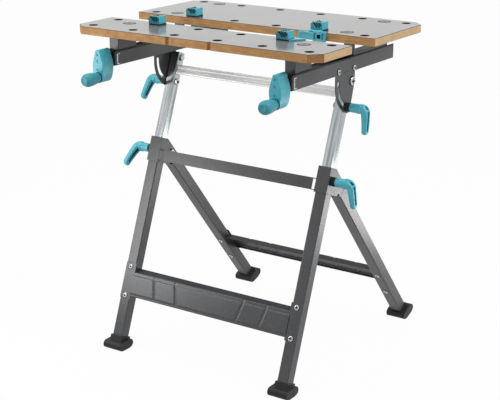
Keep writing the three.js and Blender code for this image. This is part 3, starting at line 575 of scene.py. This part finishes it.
for word in ("front", "rear"):
    t = treads[word]
    turned = lambda q: t.place(np.asarray(q) * (t.turn, t.turn, 1))
    grid, flangeRows = treadSheet(t)
    # the back of the sheet lies one thickness behind along the surface normal
    normal = unit(np.cross(np.gradient(grid, axis=1), np.gradient(grid, axis=0)))
    if normal[len(grid) // 2, grid.shape[1] // 2, 1] < 0:
        normal = -normal
    rings = np.concatenate([grid, (grid + normal * treads.sheet)[::-1]], 0).transpose(1, 0, 2)
    sheet = skin(turned(rings))
    onStep = np.arange(len(sheet[1]) - 2) % rings.shape[1] < flangeRows
    sheet[2][:-2][onStep] = 1  # the step face is matt and painted darker: painted shade
    shells = [sheet]
    inner, outer = treads.half - treads.tabLap, legX + t.tabEnd
    low, high = t.bottom - treads.tabBelow, t.bottom + treads.height + treads.tabAbove
    box = ((inner, low), (outer, low), (outer, high), (inner, high))
    for side, place in sides:
        corners = [(side * a, b) for a, b in box][::side]
        tab = lambda q: turned(q[..., [0, 2, 1]])
        shells.append(slab(roundCorners(corners, treads.tabCorner), -treads.face, treads.sheet - treads.face,
                           treads.tabRim, tab))
    dress(f"{word}_tread", "pressing", shells, "powderCoat mattCoat", smooth=50)
print("treads done")

# lift crossbar: rolled channel with lips, its front wall sunk between two lines
crossbar = Sizes(
    half=0.2238, face=-0.009, back=0.009, low=0.68, high=0.702, lip=0.006, sheet=0.002, press=0.0012,
    slope=0.001, end=0.0004, bend=0.0016, line=0.0006, inside=0.0005,
)
halfLong, front, behind, low, high, lip, sheet, press, slope, end, bend, line, inside = crossbar.values()
third, deep, within = (high - low) / 3, front + press, behind - sheet
points = [
    (behind, high - lip), (behind, high), (front, high), (front, high - third), (deep, high - third - slope),
    (deep, low + third), (front, low + third - slope), (front, low), (behind, low), (behind, low + lip),
    (within, low + lip), (within, low + sheet), (deep + sheet, low + sheet), (deep + sheet, high - sheet),
    (within, high - sheet), (within, high - lip),
]
radii = [end] + [bend] * 2 + [line] * 4 + [bend] * 2 + [end] * 2 + [inside] * 4 + [end]
outline = roundCorners(points, radii)
rings = np.stack([np.insert(outline, 0, x, 1) for x in (-halfLong, halfLong)])
dress("lift_crossbar", "channel", [skin(besideFrontLeg(rings))], "platedBar")

# sheet and moulded parts that keep the CAD shape and get rounded edges
rounded = {
    "powderCoat": dict(collar=0.0009, rail=0.0006, rear_riser=0.0009, carriage=0.001),
    "blackPlastic": dict(spindle_bearing=0.0008, front_foot=0.0014, rear_foot=0.0014),
}
for tone, widths in rounded.items():
    for node, width in widths.items():
        for side, word in sides:
            roundedCopy(f"{node}_{word}", width, tone)
roundedCopy("cross_brace", 0.0006, "powderCoat")

# black strips along the rails' upper edges, and a deck inside each riser
railTop = Sizes(
    z=0.0524, span=(-0.253, 0.196), middle=0.0143, width=0.0022, rise=(-0.0002, 0.003), rim=0.0004,
    corner=0.0003, deckWidth=0.0224, deck=(0.01, 0.166), deckRise=(0.0068, 0.0084),
)


def railBar(width, span, x, rise, rim):  # a flat bar along the rail, heights from its upper edge
    outline = roundedBox(width, span[1] - span[0], railTop.corner, x, sum(span) / 2, 3)
    return slab(outline, railTop.z + rise[0], railTop.z + rise[1], rim, onTable)


for side, word in sides:
    shells = [railBar(railTop.width, railTop.span, side * legX + off, railTop.rise, railTop.rim)
              for off in (-railTop.middle, railTop.middle)]
    addPiece(f"rail_glide_{word}", shells, "blackPlastic", "table", "black_plastic")
    deck = railBar(railTop.deckWidth, railTop.deck, side * legX, railTop.deckRise, railTop.corner)
    addPiece(f"riser_deck_{word}", [deck], "powderCoat", "table", "painted_steel")
print("rounded sheet parts done")

# spindles: r = radius less a thread that rises and falls along the pitch and winds once a turn
spindle = Sizes(
    start=-0.2791, end=-0.0765, radius=0.006, thread=0.0009, pitch=0.004, plain=-0.243, z=0.0372, rows=460,
    around=28,
)
for side, word in sides:
    y = np.linspace(spindle.start, spindle.end, spindle.rows)[:, None]
    t = turns(spindle.around)[None]
    phase = (y / spindle.pitch + t / (2 * pi)) % 1
    flank = np.clip(np.abs(phase - 0.5) * 4 - 0.5, 0, 1)
    r = spindle.radius - spindle.thread * flank * (y > spindle.plain)
    rings = np.stack([side * legX + r * np.cos(t), y + 0 * t, spindle.z + r * np.sin(t)], -1)
    dress(f"spindle_{word}", "screw", [skin(onTable(rings))], "zincSteel", flatFaces=False, smooth=60)

# cranks: an arm that tapers to its top and ends in half an ellipse, three dimples, a grip on the pin
crank = Sizes(
    back=-0.2591, depth=0.039, wide=0.0152, wideZ=-0.0115, long=0.0385, tail=0.0185, tailRim=0.0075,
    handles=((0, 0.01), (0.0022, -0.008)), throw=0.037, rim=0.0016, backRim=0.0034,
    dimples=(0.0149, 0, -0.019), dimple=0.0027, dimpleDepth=0.0016, joint=0.0124,
    jointSpan=(-0.001, 0.0002), jointRim=0.0001,
)
grip = Sizes(
    neck=0.0112, bulb=0.0151, length=0.05, dish=0.0085, dishDepth=0.0014, dishEnd=0.97, gap=0.0003,
    neckRim=((0.0012, 0), (0.0003, 0.0003), (0, 0.0012)),
)


def bezier(a, b, c, d, count):  # cubic between two ends with two handles
    t = np.linspace(0, 1, count)[:, None]
    return a * (1 - t) ** 3 + 3 * b * t * (1 - t) ** 2 + 3 * c * t ** 2 * (1 - t) + d * t ** 3


wide, depth, bulb = crank.wide, crank.depth, grip.bulb
turn = np.linspace(pi, 2 * pi, 48)[:, None]
ends = np.array([(wide, crank.wideZ), (crank.tailRim, crank.tail)])
handles = ends + crank.handles
shoulder = bezier(ends[0], handles[0], handles[1], ends[1], 14)
outline = np.concatenate([
    np.hstack([wide * np.cos(turn), crank.wideZ + crank.long * np.sin(turn)])[:-1],
    shoulder[:-1], arc(0, crank.tail, crank.tailRim, 0, 180, 24)[:-1], (shoulder * (-1, 1))[::-1][:-1],
])
# grip: a neck that swells as a quarter sine, part of a ball, and a dish in its end
start = depth + grip.gap
bulbAt = start + grip.length - bulb
s = np.linspace(0, 1, 22)[2:]
swell = np.stack([grip.neck + (bulb - grip.neck) * np.sin(s * pi / 2), start + s * (bulbAt - start)], 1)
turn = np.arccos(grip.dish / bulb) * np.linspace(0, 1, 16)[1:]
ball = np.stack([bulb * np.cos(turn), bulbAt + bulb * np.sin(turn)], 1)
u = np.linspace(0, 1, 8)[1:]
dish = np.stack([grip.dish * (1 - grip.dishEnd * u), ball[-1, 1] - grip.dishDepth * np.sin(u * pi / 2)], 1)
neck = [(grip.neck - cut, start + up) for cut, up in grip.neckRim]
gripProfile = np.concatenate([neck, swell, ball, dish])
for side, word in sides:
    hub = onTable((side * legX, crank.back, spindle.z))
    local = lambda q: hub + q[..., [0, 2, 1]] * (1, -1, 1)
    pin = lambda q: local(q - (0, crank.throw, 0))
    dimples = [(circle(0, z, crank.dimple, 24), crank.dimpleDepth) for z in crank.dimples]
    arm = slab(outline, 0, depth, crank.rim, local, pockets=dimples, steps=6, lowRim=crank.backRim)
    # a dark ring where the grip meets the arm: painted shade in the gap
    low, high = crank.jointSpan
    joint = rod(crank.joint, depth + low, depth + high, crank.jointRim, pin, 48, 1, 2)
    dress(f"crank_{word}", "arm", [arm, joint], "tealPlastic tealRecess")
    # the grip is a darker copy of the teal plastic: painted shade
    dress(f"grip_{word}", "handle", [lathe(gripProfile, pin, 56)], "tealGripShade", flatFaces=False, smooth=50)
print("spindles and cranks done")

# bolts and screws; heads as (radius, height)
bolts = Sizes(
    pivot=(0.01, 0.0045), rail=(0.0066, 0.0025), tread=(0.0062, 0.0022), smooth=35, seat=0.0011,
    seatShape=(-0.0002, 0.0006, 0.0002), nut=0.008, nutHeight=0.0045, nutRim=0.0006, lugFace=0.0155,
    tubeFace=0.0122, pivotBolt=(0.004, -0.028, 0.001, 0.0003), cheekFace=0.0168, hinge=0.0085,
    hingeTop=0.004, hingeRim=0.0012, hingeDome=0.003, hingeArc=(0.2, 1.55, 9),
    hingeBolt=(0.004, -0.0172, 0.0172, 0.0003), railSpots=(("front", -0.06), ("back", 0.009)), railZ=0.029,
    railBolt=(0.003, -0.0018, 0.0005, 0.0002), treadSpots=Sizes(front=(0.1294, 0.1998), rear=(0.13, 0.206)),
)


def seatedScrew(kind, place):  # a screw head on a thin dark ring: painted contact shadow round the head
    radius, height = bolts[kind]
    washer = rod(radius + bolts.seat, *bolts.seatShape, place, 40, 1, 2)
    return [screwHead(radius, height, place), washer]


def nut(low, place, ink=0):  # a six-sided slab
    return slab(circle(0, 0, bolts.nut, 6), low, low + bolts.nutHeight, bolts.nutRim, place, inks=ink)


# clamp levers: a turned boss and an arm swept along a path, its outer face sunk by a long and a short groove,
# whose floors are painted shade
lever = Sizes(
    boss=0.011, bossLength=0.036, bossTaper=0.0006, bossRim=0.0012, bossCrown=0.0035,
    washer=0.0105, washerLength=0.01, washerRim=0.001, studRadius=0.004, studLap=0.008, studRim=0.0005,
    path=((-0.015, 0), (-0.006, -0.0002), (0.0003, -0.006), (0.0018, -0.02), (0.002, -0.042),
          (0.0012, -0.0605)),
    thick=(0.0205, 0.0198, 0.0175, 0.0148, 0.0126, 0.011), wide=(0.022, 0.022, 0.0215, 0.0205, 0.019, 0.0172),
    stations=76, rounding=0.3, tip=0.93, tipReach=0.073, tipLeast=0.02, tipThick=0.35, tipWide=0.25,
    groove=0.0036, grooveShare=0.3, grooveDepth=0.0036, innerGroove=0.0026, grooveLip=0.0002, dark=0.9,
    long=(0.41, 0.425, 0.9, 0.92), short=(0.235, 0.25, 0.355, 0.37),  # where a groove sinks and rises
    wall=((1, 0), (1, 0.8), (0.9, 0.97)), edge=(1.02, 1.15),  # shares of the groove's depth and width
    height=Sizes(along=bench.hingeAlong, inner=0.0271, seat=0.0168, stud=0.0122, left=-33, right=36, reach=1),
    tilt=Sizes(along=bench.studAlong, inner=0.0258, seat=0.0155, stud=-0.0167, left=-19, right=20,
               reach=0.94),
)


def smoothPath(values, count):  # Catmull-Rom: each span is a cubic through its two points
    p = np.asarray(values, float)
    p = np.concatenate([2 * p[:1] - p[1:2], p, 2 * p[-1:] - p[-2:-1]])
    s = np.linspace(0, len(p) - 3 - 1e-9, count)
    i = s.astype(int)
    f = (s - i)[:, None]
    a, b, c, d = p[i], p[i + 1], p[i + 2], p[i + 3]
    square, cube = 2 * a - 5 * b + 4 * c - d, 3 * b - a - 3 * c + d
    return 0.5 * (2 * b + (c - a) * f + square * f ** 2 + cube * f ** 3)


def leverArm(bossEnd, reach, place):  # a grooved, rounded section carried along the path
    count = lever.stations
    centre = smoothPath(lever.path, count) * (1, reach) + (bossEnd, 0)
    thick, wide = smoothPath(list(zip(lever.thick, lever.wide)), count).T
    outward = leftOf(unit(np.gradient(centre, axis=0)))  # left of the way it runs: the hand side
    s = np.linspace(0, 1, count)
    ease = lambda a, b: np.clip((s - a) / (b - a), 0, 1)
    tip = np.sqrt(np.clip(1 - np.clip((s - lever.tip) / lever.tipReach, 0, 1) ** 2, lever.tipLeast, 1))
    thick = thick * (lever.tipThick + (1 - lever.tipThick) * tip)
    wide = wide * (lever.tipWide + (1 - lever.tipWide) * tip)
    long, short = (ease(a, b) * (1 - ease(c, d)) for a, b, c, d in (lever.long, lever.short))
    sunk = np.maximum(long, short)
    depth, innerDepth = lever.grooveDepth * sunk, lever.innerGroove * long
    groove = np.minimum(lever.groove, wide * lever.grooveShare)
    r = np.minimum(thick, wide) * lever.rounding
    lip, edge = (groove * share for share in lever.edge)
    arcs = [(cos(a), sin(a)) for a in np.linspace(0, pi / 2, 7)]
    # half of the section, from the outer groove's middle to the inner one's: (outwards, sideways)
    half = [(thick / 2 - depth * d, groove * w) for d, w in lever.wall]
    half += [(thick / 2 - lever.grooveLip * sunk, lip), (thick / 2, edge)]
    half += [(thick / 2 - r * (1 - c), wide / 2 - r * (1 - s)) for c, s in arcs]
    half += [(-thick / 2 + r * (1 - s), wide / 2 - r * (1 - c)) for c, s in arcs] + [(-thick / 2, edge)]
    half += [(-thick / 2 + innerDepth * d, groove * w) for d, w in lever.wall[::-1]]
    half = np.array(half)  # (points, outward or sideways, stations)
    other = half[1:-1][::-1] * np.array([1, -1])[None, :, None]
    section = np.concatenate([half, other]).transpose(2, 0, 1)
    xz = centre[:, None] + section[..., :1] * outward[:, None]
    verts, faces, ink = skin(place(np.stack([xz[..., 0], section[..., 1], xz[..., 1]], -1)))
    m = section.shape[1]
    station, around = np.divmod(np.arange(len(faces) - 2), m)
    inGroove = (around <= 1) | (around >= m - 2)
    inInner = np.abs(around + 0.5 - m / 2) < 2
    # faces in a groove sunk past lever.dark take ink 1: painted shade on the groove floors
    ink[:-2][(inGroove & (sunk[station] > lever.dark)) | (inInner & (long[station] > lever.dark))] = 1
    return verts, faces, ink


for name in ("height", "tilt"):
    v = lever[name]
    spot = besideFrontLeg((0, 0, v.along))
    for side, word in sides:
        turn = radians(v[word]) - bench.frontLean
        ct, st = cos(turn), sin(turn)

        def swing(q):  # (outwards, across, up the arm) to the bench's frame
            x, y, z = np.moveaxis(q, -1, 0)
            return np.stack([side * (legX + x), spot[1] + y * ct - z * st, spot[2] + y * st + z * ct], -1)

        axial = lambda q: swing(q[..., [2, 0, 1]])
        inner, end = v.inner, v.inner + lever.bossLength
        # the boss joins the lower rim of one turned form to the upper rim of another
        foot = roundedTurn(lever.boss - lever.bossTaper, inner, end, lever.bossRim)[:5]
        crown = roundedTurn(lever.boss, inner, end - lever.bossCrown, lever.bossCrown, 7)[8:]
        shells = [lathe(np.concatenate([foot, crown]), axial, 48), leverArm(end, v.reach, swing)]
        dress(f"{name}_lever_{word}", "handle", shells, "tealPlastic tealRecess", smooth=45)
        shells = [rod(lever.washer, v.seat, v.seat + lever.washerLength, lever.washerRim, axial, 44),
                  rod(lever.studRadius, v.stud, inner + lever.studLap, lever.studRim, axial, 24, 1)]
        if v.stud < 0:  # the tilt stud ends in a nut on the tube's inner side
            shells.append(nut(v.stud, axial, 1))
        dress(f"{name}_stud_{word}", "washer", shells, "blackPlastic zincSteel")
print("clamp levers done")

bend = np.linspace(*bolts.hingeArc)
dome = np.stack([bolts.hinge * np.cos(bend), bolts.hingeRim + bolts.hingeDome * np.sin(bend)], 1)
hingeHead = np.concatenate([roundedTurn(bolts.hinge, 0, bolts.hingeTop, bolts.hingeRim)[:6], dome])
screwTones, smooth = "zincSteel blackPlastic", bolts.smooth
for side, word in sides:
    outwards = facing(onTable((side * (legX + bolts.lugFace), 0, 0)), (side, 0, 0))
    inwards = facing(onTable((side * (legX - bolts.tubeFace), 0, 0)), (-side, 0, 0))
    shells = seatedScrew("pivot", outwards) + [rod(*bolts.pivotBolt, outwards, 24), nut(0, inwards)]
    dress(f"tilt_pivot_bolt_{word}", "screw", shells, screwTones, smooth=smooth)
    shells = []
    for face in (-1, 1):
        seat = facing((side * legX + face * bolts.cheekFace, hingeY, hingeZ), (face, 0, 0))
        shells.append(lathe(hingeHead, seat, 40))
    shells.append(rod(*bolts.hingeBolt, facing((side * legX, hingeY, hingeZ), (1, 0, 0)), 24))
    dress(f"leg_hinge_bolt_{word}", "rivet", shells, "zincSteel", flatFaces=False)
    for place, y in bolts.railSpots:
        seat = facing(onTable((side * (legX + bolts.lugFace), y, bolts.railZ)), (side, 0, 0))
        shells = seatedScrew("rail", seat) + [rod(*bolts.railBolt, seat, 20)]
        dress(f"rail_bolt_{place}_{word}", "screw", shells, screwTones, smooth=smooth)
    for row, face in (("front", treads.face), ("rear", leg.half)):
        beside = treads[row].place
        axis = beside((0, -1, 0)) - beside((0, 0, 0))
        for number, along in enumerate(bolts.treadSpots[row]):
            seat = facing(beside((side * legX, -face, along)), axis)
            shells, name = seatedScrew("tread", seat), f"{row}_tread_screw_{number}_{word}"
            addPiece(name, shells, screwTones, f"{row}_frame", "zinc_steel", smooth=smooth)

# wire clip on each bearing: a round section along a bracket-shaped path; small rivets beside the lug
clip = Sizes(
    half=0.01125, arm=0.0075, bend=((0.002, 0), (0.0004, 0.0006), (0, 0.002)), wire=0.0017, wall=0.0152,
    out=0.0003, y=-0.247, middle=0.0372, stations=60, around=10,
)
rivet = Sizes(spots=(-0.036, -0.022), z=0.0245, shape=(0.0015, -0.0008, 0.0006, 0.0005))
lower = [(a, b - clip.half) for a, b in ((clip.arm, 0), *clip.bend)]
path = smoothPath(lower + [(0, 0)] + [(a, -b) for a, b in lower[::-1]], clip.stations)
t = turns(clip.around)[None, :, None]
yz = path[:, None] + clip.wire * np.cos(t) * leftOf(unit(np.gradient(path, axis=0)))[:, None]
for side, word in sides:
    for wall, way in (("outer", side), ("inner", -side)):
        x = side * legX + way * (clip.wall + clip.out) + clip.wire * np.sin(t[..., 0])
        across = np.broadcast_to(x, yz.shape[:2])
        rings = np.stack([across, yz[..., 0] + clip.y, yz[..., 1] + clip.middle], -1)
        shells = [skin(onTable(rings))]
        addPiece(f"bearing_clip_{wall}_{word}", shells, "zincSteel", "table", "zinc_steel", flatFaces=False)
    for number, y in enumerate(rivet.spots):
        seat = facing(onTable((side * (legX + clip.wall), y, rivet.z)), (side, 0, 0))
        shells, name = [rod(*rivet.shape, seat, 20)], f"rail_rivet_{number}_{word}"
        addPiece(name, shells, "blackPlastic", "table", "black_plastic", flatFaces=False)
print("fasteners done")

# dogs: a block whose V notch is crossed by three trenches painted with dark shade, a slotted front face
# painted with shade, a base painted dark as shadow under the block, and a peg
dog = Sizes(
    x=0.1725, front=-0.158, rear=-0.014, width=0.0305, depth=0.025, low=0.0003, high=0.0213, base=0.0028,
    baseOut=0.0006, baseCorner=0.0014, baseLap=0.001, baseRim=0.0003, notchX=0.0025, notch=0.00925,
    notchFloor=0.0008, notchDepth=0.006, rib=0.0025, chamfer=0.005,
    radii=(0.0012, 0.0012, 0.0012, 0.0008, 0.0003, 0.0003, 0.0005, 0.0006), steps=4, rim=0.001,
    rimShare=0.3, trenches=3, trench=0.005, trenchLeft=-0.01, trenchDepth=0.0115, ridge=(0.003, 0.0015),
    peg=(0.0094, -0.026, 0.004, 0.0015), face=0.0025, faceLap=0.0008, faceStep=0.0006, faceCut=0.0032,
    faceSlope=0.001, faceCorner=0.001, faceRim=0.0005, slotHalf=0.0011, slotDepth=0.0014, slotDrop=0.0012,
    slotCorner=0.0005, slots=((-0.0076, 0.0096), (-0.0006, 0.0092), (0.0064, 0.0058)),
)
dogLow = dog.low + dog.base


def dogSection(right, left, bottom, ridge):  # (x, z) outline: notch floor, then the ridge by the chamfer
    w, top = dog.width / 2, dog.high
    points = [(-w, dogLow), (w, dogLow), (w, top), (dog.notchX + dog.notch, top), (right, bottom),
              (left, bottom), ridge, (-w, top - dog.chamfer)]
    return roundCorners(points, dog.radii, dog.steps)


# the block is a run of sections along Y: ribs show the V, trenches sink it to a floor
def dogShells(origin):
    x, top, w, floor = dog.notchX, dog.high, dog.width / 2, dog.notchFloor
    brow = top - dog.chamfer
    rib = dogSection(x + floor, x - floor, top - dog.notchDepth, (x - dog.notch, top))
    trench = dogSection(x + dog.trench, dog.trenchLeft, top - dog.trenchDepth,
                        (dog.ridge[0] - w, brow + dog.ridge[1]))
    wide = (dog.depth - (dog.trenches + 1) * dog.rib) / dog.trenches
    y, rim = -dog.depth / 2, dog.rim
    part = dog.rimShare * rim
    stations = [(y, inset(rib, rim)), (y + part, inset(rib, part)), (y + rim, rib)]
    for _ in range(dog.trenches):
        y += dog.rib
        stations += [(y, rib), (y, trench), (y + wide, trench), (y + wide, rib)]
        y += wide
    stations += [(-s, loop) for s, loop in stations[2::-1]]
    dark = np.array([False] * 2 + [False, True, True, True] * dog.trenches + [False] * 3)
    verts, faces, ink = skin(origin + np.array([np.insert(loop, 1, s, 1) for s, loop in stations]))
    station, around = np.divmod(np.arange(len(faces) - 2), len(rib))
    inNotch = (around >= 3.5 * dog.steps) & (around <= 6 * dog.steps)  # between the notch's two upper corners
    # the notch's faces in the trenches take ink 1: painted shade
    ink[:-2][inNotch & dark[station]] = 1
    # front face: a plate over the notch's end, with three slots that run down to the right at 45 degrees
    brink = top - dog.faceStep
    points = [(-w, dogLow), (w, dogLow), (w, top - dog.faceCut), (w - dog.faceCut, brink),
              (-w + dog.chamfer + dog.faceSlope, top), (-w, brow)]
    half, slots = dog.slotHalf, []
    high = brink - half - dog.slotDrop
    for start, run in dog.slots:
        corners = [(start - half, high - half), (start + run - half, high - run - half),
                   (start + run + half, high - run + half), (start + half, high + half)]
        slots.append((roundCorners(corners, dog.slotCorner, 3), dog.slotDepth))
    forward = lambda q: origin + q[..., [0, 2, 1]] * (1, -1, 1) + (0, dog.faceLap - dog.depth / 2, 0)
    # the face plate takes ink 2, painted shade on the front face, and its slots ink 1, darker painted shade
    face = slab(roundCorners(points, dog.faceCorner, dog.steps), 0, dog.face, dog.faceRim, forward,
                pockets=slots, inks=(2, 0, 1, 1))
    flat = lambda q: origin + q
    foot = roundedBox(dog.width + 2 * dog.baseOut, dog.depth + 2 * dog.baseOut, dog.baseCorner)
    # the base takes ink 1: painted shadow under the block
    base = slab(foot, dog.low, dogLow + dog.baseLap, dog.baseRim, flat, inks=1)
    return [(verts, faces, ink), face, base, rod(*dog.peg, flat, 40)]


# edge stops: a thin half below the plate's top, a thick half with a window whose walls and backing pane are
# painted shade, and a cover towards the dog
stop = Sizes(
    thin=0.0385, thick=0.031, back=-0.0223, depth=0.008, step=0.002, cover=0.0033, sink=-0.0005,
    thinLow=-0.018, thickLow=-0.02, rim=0.0008, corner=0.0012, steps=4, lap=0.001, low=0.0003,
    recess=(0.027, 0.011, 0.001, -0.0205), recessDepth=0.001, window=0.008, small=0.0008,
    rebate=(0.005, 0.015), rebateAt=0.0055, rebateDepth=0.003, pane=(0.001, 0.003, 0.0002),
    coverCorner=0.001, coverRim=0.0006, gussetRim=0.0005,
    gusset=((0.015, -0.0118), (0.0395, 0.0216), (0.015, 0.0216)),
)
corner, rim, reach, small, lap, back, steps = map(stop.get, "corner rim thick small lap back steps".split())
thinZ, thickZ = (stop.sink + stop.thinLow) / 2, (stop.cover + stop.thickLow) / 2
thinWide, thinTall = stop.thin + 2 * lap, stop.sink - stop.thinLow
thinLoop = roundedBox(thinWide, thinTall, corner, lap - stop.thin / 2, thinZ, steps)
thickLoop = roundedBox(reach, stop.cover - stop.thickLow, corner, reach / 2, thickZ, steps)
window, pane = (roundedBox(w, w, small, reach / 2, thickZ) for w in (stop.window, stop.window + lap))
recess = (roundedBox(*stop.recess, thinZ), stop.recessDepth)
rebates = [(roundedBox(*stop.rebate, small, x, thickZ), stop.rebateDepth)
           for x in (stop.rebateAt, reach - stop.rebateAt)]
inner = -dog.depth / 2 - stop.low
coverLoop = roundedBox(dog.width, inner - back + lap, stop.coverCorner, 0, (back + inner - lap) / 2)
for row, turn in (("front", -1), ("rear", 1)):
    for side, word in sides:
        origin = onTable((side * dog.x, dog[row], worktop.high))
        dress(f"dog_{row}_{word}", "block", dogShells(origin), "tealPlastic tealRecess tealShade")
    level = lambda q: origin + q * (turn, turn, 1)  # beside the right dog
    edge = lambda q: level(q[..., [0, 2, 1]] * (1, -1, 1) + (0, back, 0))
    shells = [slab(thinLoop, 0, stop.depth - stop.step, rim, edge, pockets=[recess]),
              # the window's walls and the pane behind it take ink 1: painted shade
              slab(thickLoop, 0, stop.depth, rim, edge, [window], rebates, inks=(0, 0, 1, 0)),
              slab(pane, *stop.pane, edge, inks=1),
              slab(coverLoop, stop.low, stop.cover, stop.coverRim, level)]
    if row == "front":  # a flat gusset on the plate, from the dog to the stop's end
        gusset = roundCorners(stop.gusset, small, steps)
        shells.append(slab(gusset, stop.low, stop.cover, stop.gussetRim, lambda q: origin + q))
    dress(f"edge_stop_{row}", "bracket", shells, "tealPlastic tealRecess")
print("dogs done")

# CAD nodes that stay: the spindle nuts inside the carriages
for side, word in sides:
    node = frame["nodes"][f"spindle_nut_{word}"]
    node.data.materials.clear()
    node.data.materials.append(finish["blackPlastic"])

# floor, light and camera
studio = Sizes(
    floorSize=14, floorTone=0.6, floorGlow=0.97, fill=0.58,
    # name, place, width and height, power, the point it faces, the angle its light spreads over
    lamps=(("right", (1.7, 0.25, 2.4), (1.6, 1.6), 36, (0, 0, 0.45), 180),
           ("low right", (0.75, 0.74, 0.11), (0.6, 0.18), 0.36, (0.25, -0.16, 0.2), 60),
           ("left", (-0.53, -0.64, 0.46), (0.24, 0.42), 2.1, (0, 0, 0.45), 180),
           ("top", (-0.7, -0.3, 2.2), (1.4, 1.4), 20, (0, 0, 0.45), 180)),
)
size = studio.floorSize / 2
floorMesh = bpy.data.meshes.new("floor")
corners = [(-size, -size, 0), (size, -size, 0), (size, size, 0), (-size, size, 0)]
floorMesh.from_pydata(corners, [], [(0, 1, 2, 3)])
floor = addObject("floor", floorMesh)
floor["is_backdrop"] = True


# camera, glossy and transmission rays see white in that share, all others see what is lit
def whiteToEye(tree, lit, white, glow, output):
    path = addNode(tree, "LightPath")
    total = path.outputs["Is Camera Ray"]
    for name in ("Is Glossy Ray", "Is Transmission Ray"):
        join = addNode(tree, "Math", total, path.outputs[name])
        join.operation = "MAXIMUM"
        total = join.outputs[0]
    share = addNode(tree, "Math", total, glow)
    share.operation = "MULTIPLY"
    mix = addNode(tree, "MixShader", share.outputs[0], lit.outputs[0], white.outputs[0])
    tree.links.new(mix.outputs[0], tree.nodes[output].inputs["Surface"])


floorFinish = bpy.data.materials.new("paleFloor")
floorFinish.use_nodes = True
tree = floorFinish.node_tree
tree.nodes.remove(tree.nodes["Principled BSDF"])
lit = addNode(tree, "BsdfDiffuse", Color=(studio.floorTone,) * 3 + (1,))
whiteToEye(tree, lit, addNode(tree, "Emission"), studio.floorGlow, "Material Output")
floorMesh.materials.append(floorFinish)

world = bpy.data.worlds.new("studio")
world.use_nodes = True
scene.world = world
tree = world.node_tree
fill = feed(tree, tree.nodes["Background"], Color=(1, 1, 1, 1), Strength=studio.fill)
whiteToEye(tree, fill, addNode(tree, "Background", Color=(1, 1, 1, 1)), 1, "World Output")

for name, spot, width, power, aim, spread in studio.lamps:
    lamp = bpy.data.lights.new(name, "AREA")
    lamp.energy = power
    lamp.shape = "RECTANGLE"
    lamp.size, lamp.size_y = width
    lamp.spread = radians(spread)
    holder = addObject(name, lamp)
    holder.location = spot
    holder.visible_camera = False
    holder.rotation_euler = (Vector(aim) - Vector(spot)).to_track_quat("-Z", "Y").to_euler()

view = Sizes(
    spot=(1.61294, -2.45744, 1.26975), azimuth=33.3, elevation=16.48, roll=0.3, focal=1277.35,
    centre=(256.17, 181), image=(500, 400), sensor=36,
)
a, e, r = map(radians, (view.azimuth, view.elevation, view.roll))
backward = Vector((sin(a) * cos(e), -cos(a) * cos(e), sin(e)))
right = Vector((cos(a), sin(a), 0))
up = backward.cross(right)
right, up = right * cos(r) + up * sin(r), up * cos(r) - right * sin(r)
(wide, tall), (centreX, centreY) = view.image, view.centre
lens = bpy.data.cameras.new("camera")
lens.sensor_width = view.sensor
lens.lens = view.focal * view.sensor / wide
lens.shift_x = (wide / 2 - centreX) / wide
lens.shift_y = (centreY - tall / 2) / wide
camera = addObject("camera", lens)
camera.matrix_world = Matrix.Translation(view.spot) @ Matrix((right, up, backward)).transposed().to_4x4()
scene.camera = camera
scene.view_settings.view_transform = "Standard"

low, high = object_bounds()
